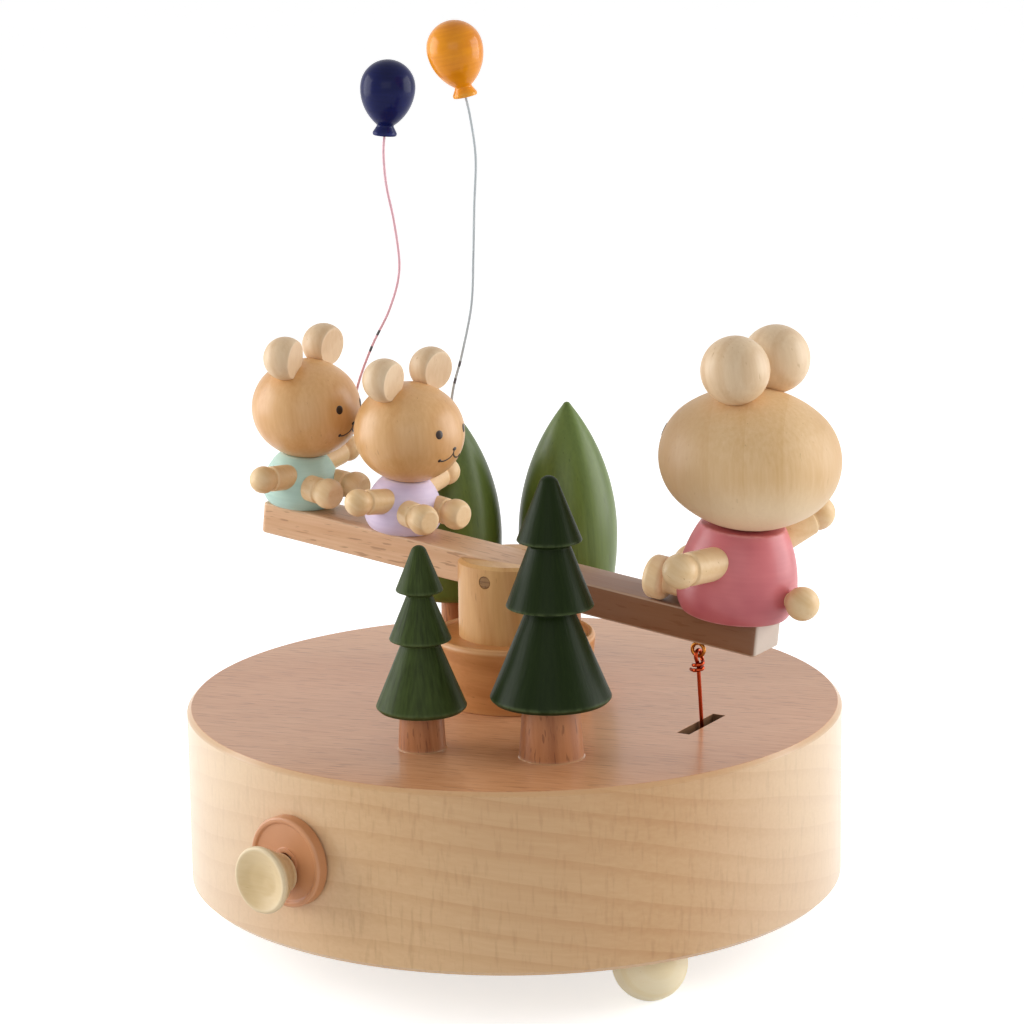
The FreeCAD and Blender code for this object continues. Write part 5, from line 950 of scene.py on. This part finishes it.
# An ear's place is the way from the head's middle and the bearing that its flat looks to.
CUB = dict(foot=5.8, belly=7.2, belly_high=3.0, neck=4.1, body=9.8, head=(20.5, 18.6, 8.8, 0.6),
           ear=4.05, ear_flat=2.2, ear_sink=0.2, ear_face=2.1,
           ears=(((-1.35, 5.3, 11.1), 3.0), ((-0.2, -6.8, 10.3), 17.0)),
           arm=(2.35, 2.55, 2.05), root=(3.4, -68.0, 6.0), near=(11.8, -87.0, 6.6),
           far_root=(3.4, 6.9), far=(12.0, 9.0),
           leg_start=(5.0, 3.6, 4.7), foot_tip=(10.0, 4.0, 4.8))
BIG = dict(foot=9.3, belly=10.65, belly_high=4.2, neck=7.5, body=15.9, head=(32.0, 24.8, 10.5, 0.4),
           ear=6.0, ear_flat=2.2, ear_sink=0.0, ear_face=5.3,
           ears=(((0.7, 7.0, 17.0), 0.0), ((0.7, -6.6, 17.3), 0.0)),
           arm=(2.95, 3.1, 2.6), root=(5.0, 104.0, 10.6), near=(17.0, 85.0, 10.3),
           far_root=(5.0, 11.6), far=(15.6, 17.0),
           leg_start=(6.4, 4.2, 4.0), foot_tip=(13.2, 5.0, 4.1))
heads = {}
hands = {}


def small_leg(start, tip):
    """A small bear's leg: a peg, a groove and a ball with a flat sole."""
    return limb(start, tip, peg=2.45, ball=2.85, neck=2.2, flat=2.0)


def big_leg(start, tip):
    """The big bear's leg: a peg and a domed disc."""
    start, tip = np.array(start, float), np.array(tip, float)
    reach = np.linalg.norm(tip - start)
    peg = 2.5
    sole = 3.9
    half = 2.0
    corners = [(0, 0), (peg, 0), (peg, reach - half), (sole - 1.0, reach - half, 1.0),
               (sole, reach - half + 1.0), (sole, reach + half - 1.2, 1.6), (sole - 1.2, reach + half - 0.2),
               (0, reach + half)]
    return drawn(corners, 0.3), aim(start, tip - start)


def bear(name, seat, yaw, far_bearing, size, leg_shape):
    """Sets a whole bear on the beam, at its seat along the beam, turned by yaw, its far arm at a bearing."""
    place = beam_frame @ shift(seat, 0, BEAM_THICK / 2) @ spin((0, 0, 1), yaw)
    belly_out, neck_in = size["belly"] - size["foot"], size["belly"] - size["neck"]
    body = drawn([
        (0, 0),
        (size["foot"], 0, upright_arc(belly_out, size["belly_high"])),
        (size["belly"], size["belly_high"], upright_arc(neck_in, size["body"] - size["belly_high"])),
        (size["neck"], size["body"]),
        (0, size["body"]),
    ], 0.4)
    stand_for(name + "_body", lathe(body, place, 120))

    wide, high, bend, under = size["head"]
    head = oval(wide, high, bend, under)
    head_place = place @ shift(0, 0, size["body"] + high / 2 - under)
    stand_for(name + "_head", lathe(head, head_place, 160))
    heads[name] = (head, head_place)

    ear = drawn([(0, -size["ear"], size["ear"]), (leg_of(size["ear"], size["ear_face"]), size["ear_face"]),
                 (0, size["ear_face"])], 0.15)
    lift = leg_of(size["ear"], size["ear_flat"]) + high / 2 - size["ear_sink"]
    pair = []
    for way, bearing in size["ears"]:
        middle = np.array(way) / np.linalg.norm(way) * lift
        pair.append(lathe(ear, head_place @ aim(middle, polar(1, bearing, 0)), 80))
    stand_for(name + "_ears", *pair)

    peg, ball, neck = size["arm"]
    ends = {"near": [polar(*size["root"]), polar(*size["near"])],
            "far": [polar(reach, far_bearing, height) for reach, height in (size["far_root"], size["far"])]}
    for side, (start, tip) in ends.items():
        outline, along = limb(start, tip, peg, ball, neck)
        stand_for("%s_%s_arm" % (name, side), lathe(outline, place @ along, 64))
    hands[name] = sent(place, ends["far"][1])
    for side, sign in (("right", -1), ("left", 1)):
        outline, along = leg_shape(size["leg_start"] * np.array((1, sign, 1)),
                                   size["foot_tip"] * np.array((1, sign, 1)))
        stand_for("%s_%s_leg" % (name, side), lathe(outline, place @ along, 72))
    return place


bear("mint", seat=-47.2, yaw=-6.6, far_bearing=86.0, size=CUB, leg_shape=small_leg)
bear("lilac", seat=-24.3, yaw=-16.4, far_bearing=99.0, size=CUB, leg_shape=small_leg)
big_place = bear("big", seat=45.3, yaw=175.0, far_bearing=-115.0, size=BIG, leg_shape=big_leg)
tail, tail_along = limb((-6.75, 0, 4.7), (-13.5, 0, 4.7), peg=1.4, ball=3.0, neck=1.3)
stand_for("big_tail", lathe(tail, big_place @ tail_along, 72))
print("with bears:", count_of)

# %% [markdown]
# ## Faces
# Each face is printed: two round eyes, a small nose, a short line under it and a smile that turns up at each
# side with a dot at its end. A decal would need an image, so the print is a thin raised piece that follows
# the head. A place on a head is a bearing and an elevation seen from its middle. The outline gives the
# radius and the height there, and its slope gives the normal.

# %% Draw on a head
INK_LINE = 0.25       # half width of a drawn line, mm
INK_RISE = 0.07       # how far the ink stands out, mm
# Bearings and elevations on a head, in degrees from its front and from its middle.
EYE = (23.0, 11.5)
NOSE = (0.0, -6.0)
SMILE = (NOSE, (0.0, -10.0), (1.6, -13.2), (5.4, -16.0), (10.8, -17.9), (15.2, -18.3), (18.8, -17.3))
CHEEK = (18.8, -17.2)


def on_head(name, bearing, elevation):
    """The point and the outward normal on a head's skin at a bearing and an elevation in degrees."""
    head, place = heads[name]
    angle = np.degrees(np.arctan2(head[:, 1], head[:, 0]))
    first = np.searchsorted(angle, elevation) - 1
    share = (elevation - angle[first]) / (angle[first + 1] - angle[first])
    radius, height = head[first, :2] + share * (head[first + 1, :2] - head[first, :2])
    run, rise = head[first + 1, :2] - head[first, :2]
    turn = math.radians(bearing)
    point = np.array((radius * math.cos(turn), radius * math.sin(turn), height))
    normal = np.array((rise * math.cos(turn), rise * math.sin(turn), -run))
    return sent(place, point[None])[0], place[:3, :3] @ normal / np.linalg.norm(normal)


def ink_dot(name, bearing, elevation, across, upright):
    """A lens of ink: an ellipsoid as wide and as high as given, sunk to its middle in the skin."""
    point, normal = on_head(name, bearing, elevation)
    place = aim(point, normal)
    up = heads[name][1][:3, 2]
    up = up - normal * (up @ normal)
    up /= np.linalg.norm(up)
    place[:3, 0] = np.cross(up, normal)
    place[:3, 1] = up
    turn = np.radians(np.linspace(-90, 90, 13))
    lens = np.column_stack((np.cos(turn), np.sin(turn), 0 * turn))
    lens[[0, -1], 0] = 0
    stretch = np.diag((across / 2, upright / 2, INK_RISE * 2, 1.0))
    return lathe(lens, place @ stretch, 32)


def ink_line(name, spots):
    """A line of ink along places on the skin: a tube sunk until it stands out by the ink's rise."""
    points = []
    for bearing, elevation in spots:
        point, normal = on_head(name, bearing, elevation)
        points.append(point - normal * (INK_LINE - INK_RISE))
    return tube(smooth_path(points, 0.15), INK_LINE, 12)


def face(name, middle, scale=1.0):
    """A whole face about its middle bearing."""
    marks = [ink_dot(name, middle + NOSE[0], NOSE[1], 1.1 * scale, 0.75 * scale)]
    for side in (-1, 1):
        marks.append(ink_dot(name, middle + side * EYE[0], EYE[1], 1.5 * scale, 1.65 * scale))
        marks.append(ink_line(name, [(middle + side * across, height) for across, height in SMILE]))
        marks.append(ink_dot(name, middle + side * CHEEK[0], CHEEK[1], 0.7 * scale, 0.7 * scale))
    detail(name + "_face", "face_ink", "seesaw", slot_of[name + "_head"], *marks)


face("mint", 10.5)
face("lilac", 14.0)
face("big", 0.0, 1.5)
print("with faces:", count_of)

# %% [markdown]
# ## Balloons
# A balloon is a turned ball that runs down into a neck and a small collar. It sits on the end of a bent wire
# whose other end is pushed into a bear's far hand. The wire is a tube along a smooth curve through a few
# bends, given as shares of its sideways sway and of its rise, so it can be made livelier or longer at will.

# %% Wires and balloons
WIRE_RADIUS = 0.26
HAND_BALL = 2.5
WIRE_GRIP = 1.5
BALLOON_GRIP = 1.6
BALLOON_HIGH = 12.3   # over its collar
BALLOON_NECK = 1.5    # radius
COLLAR_RADIUS = 2.2
COLLAR_HIGH = 1.9


def balloon(name, bear_name, sway, rise, bends):
    """A wire from a hand and the balloon on its end, set along the wire's last run."""
    hand = hands[bear_name]
    spots = np.array([hand + (across * sway, 0, up * rise) for across, up in bends])
    way = spots[1] - spots[0]
    way /= np.linalg.norm(way)
    top_way = spots[-1] - spots[-2]
    top_way /= np.linalg.norm(top_way)
    place = aim(spots[-1] - top_way * BALLOON_GRIP, top_way)
    spots[0] = hand + way * (HAND_BALL - WIRE_GRIP)
    middle, _, high = spot(name + "_balloon")
    wide = high[0] - middle[0]
    waist = COLLAR_HIGH + BALLOON_HIGH - wide
    outline = drawn([
        (0, 0),
        (COLLAR_RADIUS, 0),
        (COLLAR_RADIUS + 0.1, 0.5),
        (BALLOON_NECK, COLLAR_HIGH, upright_arc(wide - BALLOON_NECK, waist - COLLAR_HIGH)),
        (wide, waist, wide),
        (0, COLLAR_HIGH + BALLOON_HIGH),
    ], 0.3)
    stand_for(name + "_balloon", lathe(outline, place, 112))
    stand_for(name + "_balloon_wire", tube(smooth_path(spots), WIRE_RADIUS, 16))


balloon("navy", "mint", 10.5, 61.0, (
    (0, 0), (0.2, 0.19), (0.48, 0.32), (0.82, 0.44), (1.0, 0.56),
    (0.93, 0.7), (0.8, 0.82), (0.76, 0.92), (0.8, 1.0)))
balloon("orange", "lilac", 6.3, 71.6, (
    (0, 0), (0.2, 0.2), (0.51, 0.31), (0.81, 0.44), (0.89, 0.57),
    (0.94, 0.7), (1.0, 0.82), (0.87, 0.92), (0.68, 1.0)))
print("with balloons:", count_of)

# %% [markdown]
# ## What stays from the CAD
# Every node, also those that another piece stands for and those inside the box, gets the finish of its slot.
# The movement shows only through the slot and the knob's hole, but it is the reason that the box plays.

# %% Dress the CAD nodes
for node, item in nodes.items():
    item.data.materials.clear()
    item.data.materials.append(finishes[slot_of[node]])
print(len(nodes), "nodes dressed in", len({slot_of[node] for node in nodes}), "finishes")

# %% [markdown]
# ## Stage, light and camera
# The picture has a white ground and soft light from both sides. Two large lamps stand left and right and a
# weak one in front, and an even pale sky fills the rest. The sky's brightness as the camera, a mirror or a
# glass sees it is plain white, which costs the object no extra light. The floor adds just enough glow of its
# own, for those same rays, to look white while it still takes the object's shadow.

# %% Floor and sky
FLOOR_HALF = 6.0      # half of the floor's side, m
FLOOR_GLOW = 0.62     # the floor's own light for plain rays
SKY = 0.42            # the sky's strength on the object


def plain_rays(tree):
    """1 for a ray straight from the camera, off a mirror or through a glass, else 0."""
    share = 0.0
    for kind in ("Is Camera Ray", "Is Glossy Ray", "Is Transmission Ray"):
        share = add(tree, "Math", {0: share, 1: add(tree, "LightPath", out=kind)}, operation="MAXIMUM")
    return share


corners = [(x * FLOOR_HALF, y * FLOOR_HALF, 0) for x, y in ((-1, -1), (1, -1), (1, 1), (-1, 1))]
floor_mesh = bpy.data.meshes.new("floor")
floor_mesh.from_pydata(corners, [], [(0, 1, 2, 3)])
floor = bpy.data.objects.new("floor", floor_mesh)
bpy.context.scene.collection.objects.link(floor)

tree, shader = new_finish("pale_floor", Roughness=0.9, Specular_IOR_Level=0.1, Emission_Color=(1, 1, 1, 1))
dust = add(tree, "TexNoise", {"Vector": add(tree, "TexCoord", out="Object"), "Scale": 12.0})
dress(tree, shader, add(tree, "Mix", {"Factor": dust, "A": linear("#F0F0F0"), "B": linear("#ECECEC")},
                        data_type="RGBA"))
glow = add(tree, "Math", {0: plain_rays(tree), 1: FLOOR_GLOW}, operation="MULTIPLY")
tree.links.new(glow, shader.inputs["Emission Strength"])
floor_mesh.materials.append(finishes["pale_floor"])

world = bpy.data.worlds.new("studio")
world.use_nodes = True
bpy.context.scene.world = world
sky_tree = world.node_tree
sky_tree.nodes.clear()
strength = add(sky_tree, "MapRange", {"Value": plain_rays(sky_tree), "To Min": SKY, "To Max": 1.0})
sky = add(sky_tree, "Background", {"Color": (1, 1, 1, 1), "Strength": strength})
add(sky_tree, "OutputWorld", {"Surface": sky})
print("sky:", SKY, "floor glow:", FLOOR_GLOW)

# %% Lamps
LAMP_TARGET = (0.0, 0.0, 0.09)


def lamp(name, place, width, height, power):
    """A soft rectangular lamp at a place, turned to face the target."""
    light = bpy.data.lights.new(name, "AREA")
    light.shape = "RECTANGLE"
    light.size, light.size_y, light.energy = width, height, power
    item = bpy.data.objects.new(name, light)
    bpy.context.scene.collection.objects.link(item)
    item.matrix_world = Matrix(aim(place, np.subtract(place, LAMP_TARGET)).tolist())


lamp("left_soft_lamp", (-0.62, 0.1, 0.2), 0.5, 0.5, 3.6)
lamp("right_soft_lamp", (0.62, 0.08, 0.22), 0.5, 0.5, 3.4)
lamp("front_fill_lamp", (-0.1, -0.75, 0.35), 0.6, 0.4, 0.8)

# %% [markdown]
# The camera stands where the photographer stood, a little above the bears' heads and far back, so a long
# lens keeps the round base from looking bulged. Its axes come from a pitch downwards and a slight roll.

# %% Camera
CAMERA_PLACE = (0.0, -616.0, 215.0)
CAMERA_PITCH = 12.61
CAMERA_ROLL = -0.74
LENS_PIXELS = 3474.0
FRAME_PIXELS = 1024.0
pitch, roll = math.radians(CAMERA_PITCH), math.radians(CAMERA_ROLL)
forward = np.array((0, math.cos(pitch), -math.sin(pitch)))
level = np.array((1.0, 0, 0))
upward = np.cross(level, forward)
right = math.cos(roll) * level + math.sin(roll) * upward
up = -math.sin(roll) * level + math.cos(roll) * upward
view = np.eye(4)
view[:3, :3] = np.stack((right, up, -forward), axis=1)
view[:3, 3] = np.array(CAMERA_PLACE) * MM
camera_data = bpy.data.cameras.new("camera")
camera_data.sensor_width = 36.0
camera_data.lens = LENS_PIXELS / FRAME_PIXELS * camera_data.sensor_width
camera = bpy.data.objects.new("camera", camera_data)
bpy.context.scene.collection.objects.link(camera)
camera.matrix_world = Matrix(view.tolist())
bpy.context.scene.camera = camera
bpy.context.scene.view_settings.view_transform = "Standard"
print("lens", round(camera_data.lens, 2), "mm")

# %% [markdown]
# ## Last measures
# The number of pieces and triangles is printed. The dressed model has to stay in the CAD
# model's box.

# %% Count of pieces
print(count_of)
